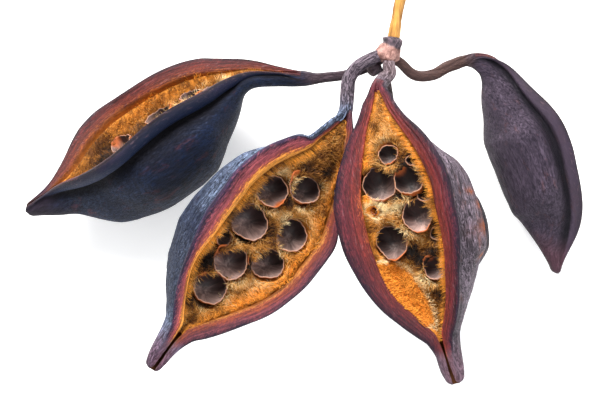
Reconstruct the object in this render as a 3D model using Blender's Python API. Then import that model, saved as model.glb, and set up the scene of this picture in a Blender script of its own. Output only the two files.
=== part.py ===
"""Kurrajong fruit: five woody follicles, split open along one side, on one short stalk.

The bunch lies as picked, on its three rear pods. +Z is up, +Y points along the cut stalk and
the origin is on the surface under the middle of the bunch.
"""

from collections import namedtuple

import bmesh
import bpy
import numpy as np
from mathutils import Matrix

MM = 0.001

# Middle of the bunch's outline, in the millimetre frame that the spines below are written in.
ORIGIN_MM = np.array([-0.5, 6.0, 0.0])

GAP = 0.5  # clearance between pieces that touch, in millimetres
WALL = 1.8  # thickness of the woody shell

# The papery cup that a seed sat in, turned round its axis, as (radius, height over the bed).
CUP_RADIUS = 3.05
CUP_WALL = 0.35
CUP_STAND = 1.0
CUP_DEPTH = 3.3  # from its rim to its bottom
CUP_SIDES = 10
CUP_OUTSIDE = ((0, -2.0), (0.8 * (CUP_RADIUS + CUP_WALL), -2.0), (CUP_RADIUS + CUP_WALL, CUP_STAND),
               (0, CUP_STAND))
CUP_INSIDE = ((0, 2 * CUP_STAND), (CUP_RADIUS, 2 * CUP_STAND), (CUP_RADIUS, 0.6 * CUP_STAND),
              (0.82 * CUP_RADIUS, -1.2), (0.45 * CUP_RADIUS, 0.8 - CUP_DEPTH),
              (0, CUP_STAND - CUP_DEPTH))

# The knuckle that the five pods grew from, up to its dark collar, and the pale cut stalk over it.
STEM_SIDES = 12
RECEPTACLE_SPINE = ((16.3, 31.2, 22.3), (16.2, 30.6, 22.3), (16.0, 29.6, 22.2), (15.5, 28.6, 22.1),
                    (15.0, 27.4, 22.0), (14.8, 26.2, 22.0))
RECEPTACLE_RADII = (1.7, 2.0, 1.85, 2.2, 2.3, 1.8)
CUT_STALK_SPINE = ((16.4, 31.6, 22.3), (16.8, 34.2, 22.6), (17.3, 37.0, 23.0), (18.3, 40.6, 23.5),
                   (19.4, 44.4, 24.0))
CUT_STALK_RADII = (1.15, 1.0, 1.0, 1.05, 1.15)

# Outline of a pod of size 1, as (share of the way from its mouth's top corner to its beak, mm).
LIP_HALF_WIDTH = ((0, 1.7), (0.05, 2.7), (0.1, 3.7), (0.16, 5.5), (0.22, 8.0), (0.3, 10.5),
                  (0.4, 12.1), (0.5, 12.0), (0.6, 10.8), (0.7, 8.4), (0.77, 6.2), (0.82, 4.2),
                  (0.86, 2.5), (0.92, 1.6), (1, 1.1))
MOUTH_HALF_WIDTH = ((0, 0.1), (0.05, 0.8), (0.1, 1.7), (0.15, 3.0), (0.2, 4.3), (0.25, 5.7),
                    (0.32, 7.2), (0.4, 8.1), (0.5, 8.1), (0.6, 7.5), (0.68, 6.1), (0.75, 3.9),
                    (0.8, 2.0), (0.84, 0.6), (0.9, 0.25), (1, 0.12))
BELLY_HALF_WIDTH = ((0, 1.3), (0.05, 1.6), (0.12, 2.9), (0.17, 4.6), (0.2, 5.7), (0.24, 7.3),
                    (0.28, 9.0), (0.33, 11.0), (0.4, 12.2), (0.5, 12.6), (0.6, 12.1), (0.7, 9.2),
                    (0.77, 6.2), (0.82, 4.0), (0.86, 2.7), (0.9, 2.3), (0.95, 2.2), (1, 1.5))
DEPTH = ((0, 3.4), (0.08, 3.8), (0.15, 4.6), (0.2, 6.6), (0.3, 14.0), (0.4, 18.2), (0.53, 20.2),
         (0.68, 19.0), (0.77, 14.6), (0.82, 10.0), (0.86, 7.2), (0.91, 5.2), (0.95, 3.9), (1, 2.6))
# The left pod's mouth gapes widest low down, and its belly starts abruptly.
GAPING_LIP = ((0, 1.0), (0.06, 1.3), (0.1, 1.7), (0.14, 2.4), (0.18, 3.6), (0.22, 4.9), (0.26, 6.6),
              (0.3, 8.5), (0.35, 9.6), (0.4, 10.1), (0.5, 10.6), (0.57, 11.3), (0.65, 12.2),
              (0.7, 11.6), (0.75, 9.4), (0.8, 6.6), (0.84, 4.3), (0.88, 2.6), (0.92, 1.7), (1, 1.0))
GAPING_MOUTH = ((0, 0.1), (0.1, 0.4), (0.18, 1.2), (0.22, 2.1), (0.26, 3.2), (0.3, 4.8), (0.35, 6.2),
                (0.4, 7.0), (0.45, 7.6), (0.5, 8.2), (0.6, 8.9), (0.65, 8.4), (0.7, 7.3),
                (0.75, 5.4), (0.8, 3.0), (0.84, 1.4), (0.88, 0.4), (1, 0.12))
ABRUPT_DEPTH = ((0, 3.0), (0.1, 3.5), (0.15, 3.9), (0.18, 4.8), (0.22, 8.4), (0.26, 11.4),
                (0.3, 14.0), (0.35, 16.6), (0.4, 18.3), (0.5, 19.3), (0.6, 19.4), (0.7, 18.6),
                (0.76, 17.4), (0.8, 15.6), (0.84, 12.3), (0.88, 7.8), (0.92, 5.5), (0.96, 3.6),
                (1, 2.2))
BLUNT_DEPTH = ((0, 3.0), (0.05, 4.0), (0.1, 6.0), (0.15, 7.4), (0.2, 9.0), (0.3, 12.5),
               (0.36, 13.4), (0.44, 13.8), (0.6, 13.2), (0.7, 12.5), (0.8, 12.0), (0.84, 11.0),
               (0.88, 9.0), (0.92, 4.8), (0.96, 2.8), (1, 1.7))
LIP_HEIGHT = ((0, 1.3), (0.2, 2.2), (0.45, 3.0), (0.8, 2.6), (0.93, 1.8), (1, 1.1))
LIP_DROP = ((0, 0.1), (0.2, 1.2), (0.45, 1.8), (0.75, 1.4), (0.9, 0.4), (1, 0.15))
OPENNESS = ((0, 0.0), (0.08, 1.0), (0.9, 1.0), (1, 0.4))

# Rings along the stalk, then along the pod, and those of them that the bed of cups spans.
STALK_RINGS = 6
HOOD = 1.8  # length over which a round stalk swells into the hooded top of a pod
POD_SHARES = (0, 0.03, 0.07, 0.11, 0.15, 0.19, 0.24, 0.3, 0.37, 0.45, 0.53, 0.6, 0.67, 0.73,
              0.78, 0.82, 0.86, 0.9, 0.95, 1)
BED_SHARES = (0.11, 0.78)

# A pod: its outlines of lip, mouth, belly and depth, how wide it is against them, how wide its
# mouth, how full its belly and how deep it is, how far its mouth lies off its middle, the radius
# of its stalk, the way its mouth faces, the point of its spine where the mouth starts, its spine
# in mm from the hub to the beak, and its cups as (share along the pod, mm to the right of its
# middle, radius against CUP_RADIUS).
Pod = namedtuple("Pod", "name form width gape girth deep off stalk face mouth_at spine cups")

EVEN = (LIP_HALF_WIDTH, MOUTH_HALF_WIDTH, BELLY_HALF_WIDTH, DEPTH)
GAPING = (GAPING_LIP, GAPING_MOUTH, BELLY_HALF_WIDTH, ABRUPT_DEPTH)
BLUNT = (LIP_HALF_WIDTH, MOUTH_HALF_WIDTH, BELLY_HALF_WIDTH, BLUNT_DEPTH)

TWO_ROWS = ((0.29, 0.3, 0.7), (0.36, -3.2, 0.82), (0.41, 3.4, 0.88), (0.49, -3.6, 0.9),
            (0.55, 3.4, 0.92), (0.63, -3.0, 0.84), (0.68, 2.7, 0.75))
NARROW_ROWS = ((0.3, -1.8, 0.7), (0.41, 2.1, 0.78), (0.51, -2.3, 0.8), (0.62, 1.9, 0.75),
               (0.7, -1.3, 0.65))

PODS = (
    Pod("front_left", EVEN, 1.06, 1.06, 0.88, 0.93, 1.3, 1.4, (0.34, -0.26, 0.90), 4,
        ((12.3, 27.0, 23.0), (9.8, 25.5, 22.8), (8.2, 23.4, 22.6), (7.8, 20.3, 22.5),
         (7.4, 17.3, 22.9), (6.0, 14.0, 24.2), (4.65, 11.4, 25.8), (3.1, 8.6, 26.8),
         (0.95, 6.4, 27.7), (-2.9, 2.1, 28.8), (-6.2, -2.5, 29.5), (-9.6, -7.0, 30.1),
         (-13.2, -11.5, 30.5), (-17.2, -15.8, 30.6), (-21.0, -20.2, 30.7), (-24.8, -24.7, 30.8),
         (-28.3, -30.0, 30.8)),
        ((0.352, -2.5, 0.93), (0.284, 2.4, 0.82), (0.468, -2.1, 1.1), (0.42, 5.6, 0.78),
         (0.532, 5.6, 0.78), (0.604, 0.4, 1.0), (0.704, 0.5, 0.92), (0.556, -4.9, 0.6))),
    Pod("front_right", EVEN, 0.955, 0.9, 1.07, 0.92, 0.3, 1.35, (-0.36, -0.09, 0.93), 3,
        ((15.3, 25.6, 23.4), (15.4, 24.5, 23.8), (14.7, 23.5, 24.6), (13.7, 22.3, 25.4),
         (13.7, 18.9, 27.2), (13.95, 15.4, 29.2), (14.3, 11.8, 31.2), (15.0, 8.1, 32.8),
         (16.2, 2.6, 34.3), (17.2, -2.7, 34.9), (18.6, -8.1, 35.0), (20.3, -13.5, 34.9),
         (22.7, -18.9, 34.5), (24.2, -22.6, 34.2), (25.5, -26.4, 33.9), (26.3, -29.2, 33.6),
         (27.3, -32.5, 33.4)),
        ((0.256, 0.0, 0.6), (0.336, -3.4, 0.9), (0.356, 2.2, 0.85), (0.404, 4.6, 0.5),
         (0.464, 2.4, 0.95), (0.528, -3.6, 1.0), (0.648, 3.0, 0.72), (0.296, 3.6, 0.38),
         (0.536, 4.9, 0.42))),
    Pod("left", GAPING, 0.97, 1.0, 1.0, 1.0, 0.0, 1.0, (-0.383, 0.85, 0.46), 3,
        ((12.7, 26.2, 20.3), (7.5, 24.6, 18.6), (2.6, 24.2, 17.2), (-0.8, 23.8, 16.2),
         (-5.2, 23.9, 15.6), (-9.8, 24.2, 15.2), (-18.2, 22.3, 14.5), (-25.6, 19.0, 14.1),
         (-33.3, 13.8, 13.5), (-39.0, 9.4, 13.0), (-43.9, 4.8, 12.0), (-48.4, 1.2, 10.6),
         (-53.3, -1.3, 9.2)),
        TWO_ROWS),
    Pod("right", BLUNT, 0.76, 1.0, 0.97, 1.0, 0.0, 0.95, (0.92, 0.37, -0.09), 4,
        ((17.6, 26.5, 20.7), (20.5, 24.4, 18.8), (24.3, 24.6, 16.6), (28.2, 26.4, 14.6),
         (31.8, 27.6, 13.2), (36.0, 26.2, 11.8), (39.9, 21.9, 10.6), (43.1, 18.0, 9.6),
         (45.0, 14.8, 9.1), (46.6, 11.1, 8.8), (47.7, 7.5, 8.6), (48.8, 3.8, 8.6),
         (49.8, 0.2, 8.6), (50.2, -2.7, 8.6), (49.6, -5.6, 8.6), (48.5, -8.2, 8.6),
         (47.9, -10.4, 8.6), (47.8, -13.3, 8.6)),
        NARROW_ROWS),
    Pod("back", EVEN, 0.86, 1.0, 1.12, 0.84, 0.0, 0.95, (0.0, 0.0, -1.0), 4,
        ((15.0, 25.4, 20.3), (15.2, 23.2, 17.5), (15.8, 19.6, 13.0), (16.4, 15.0, 8.5),
         (17.6, 10.4, 5.0), (19.6, 5.0, 3.2), (21.4, -0.6, 2.6), (22.9, -6.1, 2.6),
         (23.8, -11.5, 2.6), (24.5, -16.6, 2.6), (25.2, -20.4, 2.6), (26.0, -23.6, 2.8)),
        NARROW_ROWS),
)

# Where half a section's points start to follow the mouth to its side, do so wholly and end.
MOUTH_POINTS = (7, 10, 12)

# Angles round a section at which its points lie, from the middle of the back to the mouth.
SECTION_ANGLES = np.radians((-90, -67.5, -45, -22.5, 0, 18, 35, 48, 55, 62, 69, 75, 80, 85, 90))


def along(keys, share):
    """The value at a share, on a curve through the keys that never overshoots them."""
    keys = np.array(keys, float)
    at, value = keys[:, 0], keys[:, 1]
    rise = np.diff(value) / np.diff(at)
    slope = np.concatenate([rise[:1], np.zeros(len(rise) - 1), rise[-1:]])
    same_way = rise[1:] * rise[:-1] > 0
    slope[1:-1][same_way] = (2 * rise[1:] * rise[:-1])[same_way] / (rise[1:] + rise[:-1])[same_way]
    i = int(np.clip(np.searchsorted(at, share) - 1, 0, len(at) - 2))
    span = at[i + 1] - at[i]
    u = np.clip((share - at[i]) / span, 0, 1)
    return (value[i] * (1 + 2 * u) * (1 - u) ** 2 + slope[i] * span * u * (1 - u) ** 2
            + value[i + 1] * u * u * (3 - 2 * u) + slope[i + 1] * span * u * u * (u - 1))


class Spine:
    """A smooth curve through a list of points, measured along its length."""

    FINE = 24  # samples between two points

    def __init__(self, points):
        points = np.array(points, float)
        knots = np.concatenate([[0], np.cumsum(np.linalg.norm(np.diff(points, axis=0), axis=1))])
        slope = np.gradient(points, knots, axis=0)
        samples = []
        for i in range(len(points) - 1):
            span = knots[i + 1] - knots[i]
            u = np.linspace(0, 1, self.FINE, endpoint=False)[:, None]
            samples.append(points[i] * (1 + 2 * u) * (1 - u) ** 2 + slope[i] * span * u * (1 - u) ** 2
                           + points[i + 1] * u * u * (3 - 2 * u)
                           + slope[i + 1] * span * u * u * (u - 1))
        self.samples = np.concatenate([*samples, points[-1:]])
        steps = np.linalg.norm(np.diff(self.samples, axis=0), axis=1)
        self.lengths = np.concatenate([[0], np.cumsum(steps)])

    def length_at(self, point_index):
        return self.lengths[point_index * self.FINE]

    def place(self, length, face):
        """Where the spine is at a length, the way it runs, and the right and up that face gives."""
        point = np.array([np.interp(length, self.lengths, self.samples[:, k]) for k in range(3)])
        reach = 1.0
        ahead, behind = (
            np.array([np.interp(length + d, self.lengths, self.samples[:, k]) for k in range(3)])
            for d in (reach, -reach))
        run = (ahead - behind) / np.linalg.norm(ahead - behind)
        up = np.array(face, float) - np.dot(face, run) * run
        up /= np.linalg.norm(up)
        return point, run, np.cross(up, run), up


def mirrored(half):
    """A whole ring from the right half of one."""
    return np.concatenate([half, half[-2:0:-1] * (-1, 1)])


def half_sections(share, pod):
    """Right half of a pod's cross-section, as a plain oval and as folded in round the mouth."""
    scales = (pod.width, pod.width * pod.gape, pod.width * pod.girth, pod.deep, pod.width, pod.width)
    lip, mouth, belly, depth, height, drop = (
        scale * along(keys, share)
        for scale, keys in zip(scales, (*pod.form, LIP_HEIGHT, LIP_DROP)))
    wall = min(WALL, 0.36 * belly)
    middle = height - 0.48 * depth  # height at which the belly is widest
    back = 0.52 * depth
    inner = height - drop
    floor = middle - back + wall
    outside = [(belly * np.cos(a), middle + back * np.sin(a)) for a in SECTION_ANGLES[:5]]
    shoulder = (0.985 * belly, middle + 0.35 * (height - middle))
    neck = (0.93 * min(lip, belly), middle + 0.7 * (height - middle))
    face = [(lip, height), (lip - 0.14 * (lip - mouth), height + 0.12 * drop),
            (0.45 * lip + 0.55 * mouth, height - 0.42 * drop), (mouth, inner)]
    hollow = [(mouth + 0.75 * (belly - wall - mouth), inner - 0.3 * (inner - floor))]
    hollow += [((belly - wall) * np.cos(a), middle + (back - wall) * np.sin(a))
               for a in np.radians((-28, -60))]
    opened = np.array([*outside, shoulder, neck, *face, *hollow, (0, floor)])
    top = np.where(SECTION_ANGLES > 0, height, depth - height)
    oval = np.stack([belly * np.cos(SECTION_ANGLES), top * np.sin(SECTION_ANGLES)], 1)
    return oval, opened


def mouth_shift(share, pod):
    """How far the mouth's middle is to the right of the pod's, since one lip is broader."""
    rise, fall = (np.clip((share - low) / (high - low), 0, 1) for low, high in ((0.13, 0.24),
                                                                                (0.52, 0.7)))
    return pod.off * rise * rise * (3 - 2 * rise) * (1 - fall * fall * (3 - 2 * fall))


def pod_ring(share, pod):
    """A pod's whole cross-section: an oval at its top, and folded in to a hollow at the mouth."""
    oval, opened = half_sections(share, pod)
    ring = mirrored(oval + (opened - oval) * along(OPENNESS, share))
    aside = np.interp(np.arange(15), MOUTH_POINTS, (0, 1, 0)) * mouth_shift(share, pod)
    ring[:, 0] += np.concatenate([aside, aside[-2:0:-1]])
    return ring


def stalk_ring(progress, to_mouth, pod):
    """The round stalk's cross-section, at the back of the hood that it swells into."""
    hood = pod_ring(0, pod)
    radius = pod.stalk * (0.75 + 0.25 * progress)
    lowest = hood[:, 1].min() + radius
    ring = mirrored(radius * np.stack([np.cos(SECTION_ANGLES), np.sin(SECTION_ANGLES)], 1))
    ring = ring + (0, lowest * progress)
    swell = max(0, 1 - to_mouth / HOOD)
    return ring + (hood - ring) * swell * swell * (3 - 2 * swell)


def skin(rings):
    """A closed mesh through rings of points, each end closed with a fan."""
    mesh = bmesh.new()
    rows = [[mesh.verts.new(p * MM) for p in ring] for ring in rings]
    count = len(rows[0])
    for a, b in zip(rows, rows[1:]):
        for i in range(count):
            j = (i + 1) % count
            mesh.faces.new((a[i], a[j], b[j], b[i]))
    for row, ring in ((rows[0], rings[0]), (rows[-1], rings[-1])):
        hub = mesh.verts.new(np.mean(ring, axis=0) * MM)
        for i in range(count):
            mesh.faces.new((row[i], row[(i + 1) % count], hub))
    bmesh.ops.recalc_face_normals(mesh, faces=mesh.faces)
    return mesh


def add_object(name, mesh, material, sharp_degrees=50):
    data = bpy.data.meshes.new(name)
    mesh.to_mesh(data)
    mesh.free()
    data.shade_smooth()
    data.set_sharp_from_angle(angle=np.radians(sharp_degrees))
    made = bpy.data.objects.new(name, data)
    bpy.context.scene.collection.objects.link(made)
    if material:
        data.materials.append(material)
    return made


def add_material(name, colour, roughness):
    material = bpy.data.materials.new(name)
    material.use_nodes = True
    shader = material.node_tree.nodes["Principled BSDF"]
    shader.inputs["Base Color"].default_value = (*colour, 1)
    shader.inputs["Roughness"].default_value = roughness
    shader.inputs["Metallic"].default_value = 0
    material.diffuse_color = (*colour, 1)
    return material


def placed(ring, frame):
    """A flat ring of (right, up) points set into its frame on the spine."""
    point, _, right, up = frame
    return point - ORIGIN_MM + ring[:, :1] * right + ring[:, 1:] * up


class PodCourse:
    """Where a pod's sections stand on its spine: the stalk, then shares 0 to 1 of the pod."""

    def __init__(self, pod):
        self.spine = Spine(pod.spine)
        self.face = pod.face
        self.mouth = self.spine.length_at(pod.mouth_at)
        self.rest = self.spine.lengths[-1] - self.mouth

    def at_share(self, share):
        return self.spine.place(self.mouth + share * self.rest, self.face)

    def at_length(self, length):
        return self.spine.place(length, self.face)


def follicle_rings(pod):
    """The rings of a pod's skin in the bunch's frame, flattened where they press on the surface."""
    course = PodCourse(pod)
    lengths = [*np.linspace(0, course.mouth - HOOD, STALK_RINGS), course.mouth - HOOD / 2]
    rings = [placed(stalk_ring(length / course.mouth, course.mouth - length, pod),
                    course.at_length(length)) for length in lengths]
    rings += [placed(pod_ring(share, pod), course.at_share(share)) for share in POD_SHARES]
    return [np.maximum(ring, (-np.inf, -np.inf, 0)) for ring in rings]


def add_follicle(pod, material):
    """One follicle: its stalk, its boat-shaped woody shell with rolled lips, and its split beak."""
    return add_object("follicle_" + pod.name, skin(follicle_rings(pod)), material)


def bed_ring(share, pod):
    """Cross-section of the bed of hairs and cups, a little inside the hollow that it fills."""
    ring = pod_ring(share, pod)
    lowest = len(ring) // 2
    hollow = ring[lowest - 3:lowest + 4]
    middle = np.array([0, (hollow[0, 1] + hollow[3, 1]) / 2])
    reach = np.linalg.norm(hollow - middle, axis=1, keepdims=True)
    hollow = middle + (hollow - middle) * (1 - GAP / reach)
    edge_width, edge_height = hollow[0]
    crown = 0.06 * edge_width
    top = [(x * edge_width, edge_height + crown * (1 - x * x)) for x in (-0.6, -0.2, 0.2, 0.6)]
    return np.array([*hollow, *top])


def bowl(profile, sides):
    """A closed turned solid through (radius, height) points, the first and last on its axis."""
    mesh = bmesh.new()
    rows = [[mesh.verts.new((r * np.cos(a) * MM, r * np.sin(a) * MM, z * MM))
             for a in np.linspace(0, 2 * np.pi, sides, endpoint=False)] for r, z in profile[1:-1]]
    ends = [mesh.verts.new((0, 0, z * MM)) for _, z in (profile[0], profile[-1])]
    for a, b in zip(rows, rows[1:]):
        for i in range(sides):
            mesh.faces.new((a[i], a[(i + 1) % sides], b[(i + 1) % sides], b[i]))
    for row, end in ((rows[0], ends[0]), (rows[-1], ends[1])):
        for i in range(sides):
            mesh.faces.new((row[i], row[(i + 1) % sides], end))
    bmesh.ops.recalc_face_normals(mesh, faces=mesh.faces)
    return mesh


def cup_places(pod):
    """For each cup, the matrix that stands it on the bed, and its size."""
    course = PodCourse(pod)
    for share, aside, scale in pod.cups:
        top = bed_ring(share, pod)[-4:, 1].max()
        point, _, right, up = course.at_share(share)
        centre = (point - ORIGIN_MM + aside * right + top * up) * MM
        turn = Matrix([right, np.cross(up, right), up]).transposed().to_4x4()
        yield Matrix.Translation(centre) @ turn, scale


def add_seed_bed(pod, material):
    """The felt that lines a pod, with the papery cups that its seeds dropped out of."""
    course = PodCourse(pod)
    shares = [share for share in POD_SHARES if BED_SHARES[0] <= share <= BED_SHARES[1]]
    rings = [placed(bed_ring(share, pod), course.at_share(share)) for share in shares]
    bed = add_object("seed_bed_" + pod.name, skin(rings), material)
    for operation, profile in (("UNION", CUP_OUTSIDE), ("DIFFERENCE", CUP_INSIDE)):
        tools = bpy.data.collections.new(pod.name + operation.lower())
        for matrix, scale in cup_places(pod):
            mesh = bowl([(radius * scale, height) for radius, height in profile], CUP_SIDES)
            tool = add_object("cup", mesh, None)
            bpy.context.scene.collection.objects.unlink(tool)
            tools.objects.link(tool)
            tool.matrix_world = matrix
        cut = bed.modifiers.new(operation, "BOOLEAN")
        cut.operation = operation
        cut.operand_type = "COLLECTION"
        cut.collection = tools
        cut.solver = "MANIFOLD"
    settle(bed)
    for tool in [other for other in bpy.data.objects if other.name.startswith("cup")]:
        bpy.data.objects.remove(tool)
    return bed


def settle(made):
    """Applies an object's modifiers."""
    bpy.context.view_layer.update()
    graph = bpy.context.evaluated_depsgraph_get()
    data = bpy.data.meshes.new_from_object(made.evaluated_get(graph))
    made.modifiers.clear()
    made.data = data


def add_tapered_stem(name, points, radii, material):
    """A round stem through points, with a radius at each."""
    spine = Spine(points)
    angles = np.linspace(0, 2 * np.pi, STEM_SIDES, endpoint=False)
    circle = np.stack([np.cos(angles), np.sin(angles)], 1)
    rings = [placed(radius * circle, spine.place(spine.length_at(i), (0, 0, 1)))
             for i, radius in enumerate(radii)]
    return add_object(name, skin(rings), material)


def build():
    for old in list(bpy.data.objects):
        bpy.data.objects.remove(old)
    shell = add_material("weathered_shell", (0.07, 0.045, 0.06), 0.6)
    felt = add_material("golden_felt", (0.45, 0.2, 0.05), 0.95)
    bark = add_material("grey_bark", (0.2, 0.12, 0.1), 0.8)
    green_wood = add_material("tan_stalk", (0.75, 0.45, 0.12), 0.5)
    for pod in PODS:
        add_follicle(pod, shell)
        add_seed_bed(pod, felt)
    add_tapered_stem("receptacle", RECEPTACLE_SPINE, RECEPTACLE_RADII, bark)
    add_tapered_stem("cut_stalk", CUT_STALK_SPINE, CUT_STALK_RADII, green_wood)


build()
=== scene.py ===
"""Looks of a bunch of dry kurrajong fruit: five split woody pods on one short cut stalk.

The bunch lies on a pale table. Lengths below are millimetres unless a name says otherwise.
"""

from collections import namedtuple

import bpy
import numpy as np
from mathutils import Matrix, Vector, noise


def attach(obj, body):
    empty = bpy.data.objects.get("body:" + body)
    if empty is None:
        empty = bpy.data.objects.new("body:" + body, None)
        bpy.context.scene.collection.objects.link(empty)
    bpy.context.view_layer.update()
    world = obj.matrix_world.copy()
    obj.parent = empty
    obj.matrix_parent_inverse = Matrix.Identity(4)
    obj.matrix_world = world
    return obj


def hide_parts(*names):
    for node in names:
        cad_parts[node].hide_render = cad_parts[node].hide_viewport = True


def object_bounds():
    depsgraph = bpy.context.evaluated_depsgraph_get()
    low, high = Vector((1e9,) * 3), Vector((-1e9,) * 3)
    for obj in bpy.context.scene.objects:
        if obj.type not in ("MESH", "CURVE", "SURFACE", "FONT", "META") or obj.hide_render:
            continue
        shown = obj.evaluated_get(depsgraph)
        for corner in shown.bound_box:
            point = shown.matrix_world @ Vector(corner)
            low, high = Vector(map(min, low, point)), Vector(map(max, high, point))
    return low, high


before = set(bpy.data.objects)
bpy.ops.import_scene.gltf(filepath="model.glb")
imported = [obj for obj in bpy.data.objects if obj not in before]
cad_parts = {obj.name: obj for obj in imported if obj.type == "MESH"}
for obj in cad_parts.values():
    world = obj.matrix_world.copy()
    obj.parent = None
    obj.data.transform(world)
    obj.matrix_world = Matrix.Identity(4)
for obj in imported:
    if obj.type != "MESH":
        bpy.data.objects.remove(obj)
cad_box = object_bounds()

# The woody shells of the five pods.
# Each pod is one carpel, dried to a boat of thin wood on its own stalk and split along one side.
# The split edges roll out into banded lips, and the two halves stay shut in a pointed beak.
MM = 0.001
MIDDLE = np.array([-0.5, 6.0, 0.0])  # of the bunch's outline, in the frame of the spines
WALL = 1.8
HOOD = 3.6  # length over which a round stalk swells into the hooded top of a pod
RING_STEP = {"front": 0.3, "side": 0.42}  # between two rings of the mesh along a pod
STALK_STEP = 0.7
HOOD_RINGS = 11
TIP_ROUNDING = 0.9  # length over which a beak's end is rounded off
SMOOTHING = {"right": 60}  # passes along a pod whose rings would fold at its bend
BENT = ((0.6, 0.7), (0.93, 0.98))  # shares over which that bend starts and ends
STEM_END = (-0.06, 0.03)  # shares over which a stalk's wood turns into a pod's skin
BEAK_START = (0.84, 0.95)  # shares over which a pod's skin turns into its beak's
UNDER_TOP = 0.02  # that the shells stay under the top of the bunch's box

# Outline of a pod of size 1, as (share of the way from its mouth's top corner to its beak, mm).
LIP_HALF_WIDTH = ((0, 1.7), (0.05, 2.7), (0.1, 3.7), (0.16, 5.5), (0.22, 8.0), (0.3, 10.5),
                  (0.4, 12.1), (0.5, 12.0), (0.6, 10.8), (0.7, 8.4), (0.77, 6.2), (0.82, 4.2),
                  (0.86, 2.5), (0.92, 1.6), (1, 1.1))
MOUTH_HALF_WIDTH = ((0, 0.1), (0.05, 0.8), (0.1, 1.7), (0.15, 3.0), (0.2, 4.3), (0.25, 5.7),
                    (0.32, 7.2), (0.4, 8.1), (0.5, 8.1), (0.6, 7.5), (0.68, 6.1), (0.75, 3.9),
                    (0.8, 2.0), (0.84, 0.6), (0.9, 0.25), (1, 0.12))
BELLY_HALF_WIDTH = ((0, 1.3), (0.05, 1.6), (0.12, 2.9), (0.17, 4.6), (0.2, 5.7), (0.24, 7.3),
                    (0.28, 9.0), (0.33, 11.0), (0.4, 12.2), (0.5, 12.6), (0.6, 12.1), (0.7, 9.2),
                    (0.77, 6.2), (0.82, 4.0), (0.86, 2.7), (0.9, 2.3), (0.95, 2.2), (1, 1.5))
DEPTH = ((0, 3.4), (0.08, 3.8), (0.15, 4.6), (0.2, 6.6), (0.3, 14.0), (0.4, 18.2), (0.53, 20.2),
         (0.68, 19.0), (0.77, 14.6), (0.82, 10.0), (0.86, 7.2), (0.91, 5.2), (0.95, 3.9), (1, 2.6))
# The left pod's mouth gapes widest low down, and its belly starts abruptly.
GAPING_LIP = ((0, 1.0), (0.06, 1.3), (0.1, 1.7), (0.14, 2.4), (0.18, 3.6), (0.22, 4.9), (0.26, 6.6),
              (0.3, 8.5), (0.35, 9.6), (0.4, 10.1), (0.5, 10.6), (0.57, 11.3), (0.65, 12.2),
              (0.7, 11.6), (0.75, 9.4), (0.8, 6.6), (0.84, 4.3), (0.88, 2.6), (0.92, 1.7), (1, 1.0))
GAPING_MOUTH = ((0, 0.1), (0.1, 0.4), (0.18, 1.2), (0.22, 2.1), (0.26, 3.2), (0.3, 4.8), (0.35, 6.2),
                (0.4, 7.0), (0.45, 7.6), (0.5, 8.2), (0.6, 8.9), (0.65, 8.4), (0.7, 7.3),
                (0.75, 5.4), (0.8, 3.0), (0.84, 1.4), (0.88, 0.4), (1, 0.12))
ABRUPT_DEPTH = ((0, 3.0), (0.1, 3.5), (0.15, 3.9), (0.18, 4.8), (0.22, 8.4), (0.26, 11.4),
                (0.3, 14.0), (0.35, 16.6), (0.4, 18.3), (0.5, 19.3), (0.6, 19.4), (0.7, 18.6),
                (0.76, 17.4), (0.8, 15.6), (0.84, 12.3), (0.88, 7.8), (0.92, 5.5), (0.96, 3.6),
                (1, 2.2))
BLUNT_DEPTH = ((0, 3.0), (0.05, 4.0), (0.1, 6.0), (0.15, 7.4), (0.2, 9.0), (0.3, 12.5),
               (0.36, 13.4), (0.44, 13.8), (0.6, 13.2), (0.7, 12.6), (0.8, 12.4), (0.84, 11.8),
               (0.88, 9.2), (0.92, 4.2), (0.96, 2.6), (1, 1.6))
LIP_HEIGHT = ((0, 1.3), (0.2, 2.2), (0.45, 3.0), (0.8, 2.6), (0.93, 1.8), (1, 1.1))
LIP_DROP = ((0, 0.1), (0.2, 1.2), (0.45, 1.8), (0.75, 1.4), (0.9, 0.4), (1, 0.15))
OPENNESS = ((0, 0.0), (0.08, 1.0), (0.9, 1.0), (1, 0.4))

# Half a section has these bands, from -1 in the middle of the back, by 0 on the lip's outer edge
# and 1 on its inner edge, to 2 in the middle of the hollow's floor.
BANDS = (-1, -0.84, -0.68, -0.52, -0.36, -0.24, -0.12, -0.05, 0, 0.12, 0.32, 0.56, 0.8, 1, 1.08,
         1.3, 1.5, 1.75, 2)
OVAL_ANGLES = np.radians((-90, -72, -54, -36, -18, 0, 14, 26, 36, 44, 52, 60, 66, 71, 75, 79, 83,
                          87, 90))
STEPS = (6, 6, 6, 6, 6, 6, 6, 5, 5, 6, 6, 6, 5, 4, 5, 4, 4, 4)  # points from band to band

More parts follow.
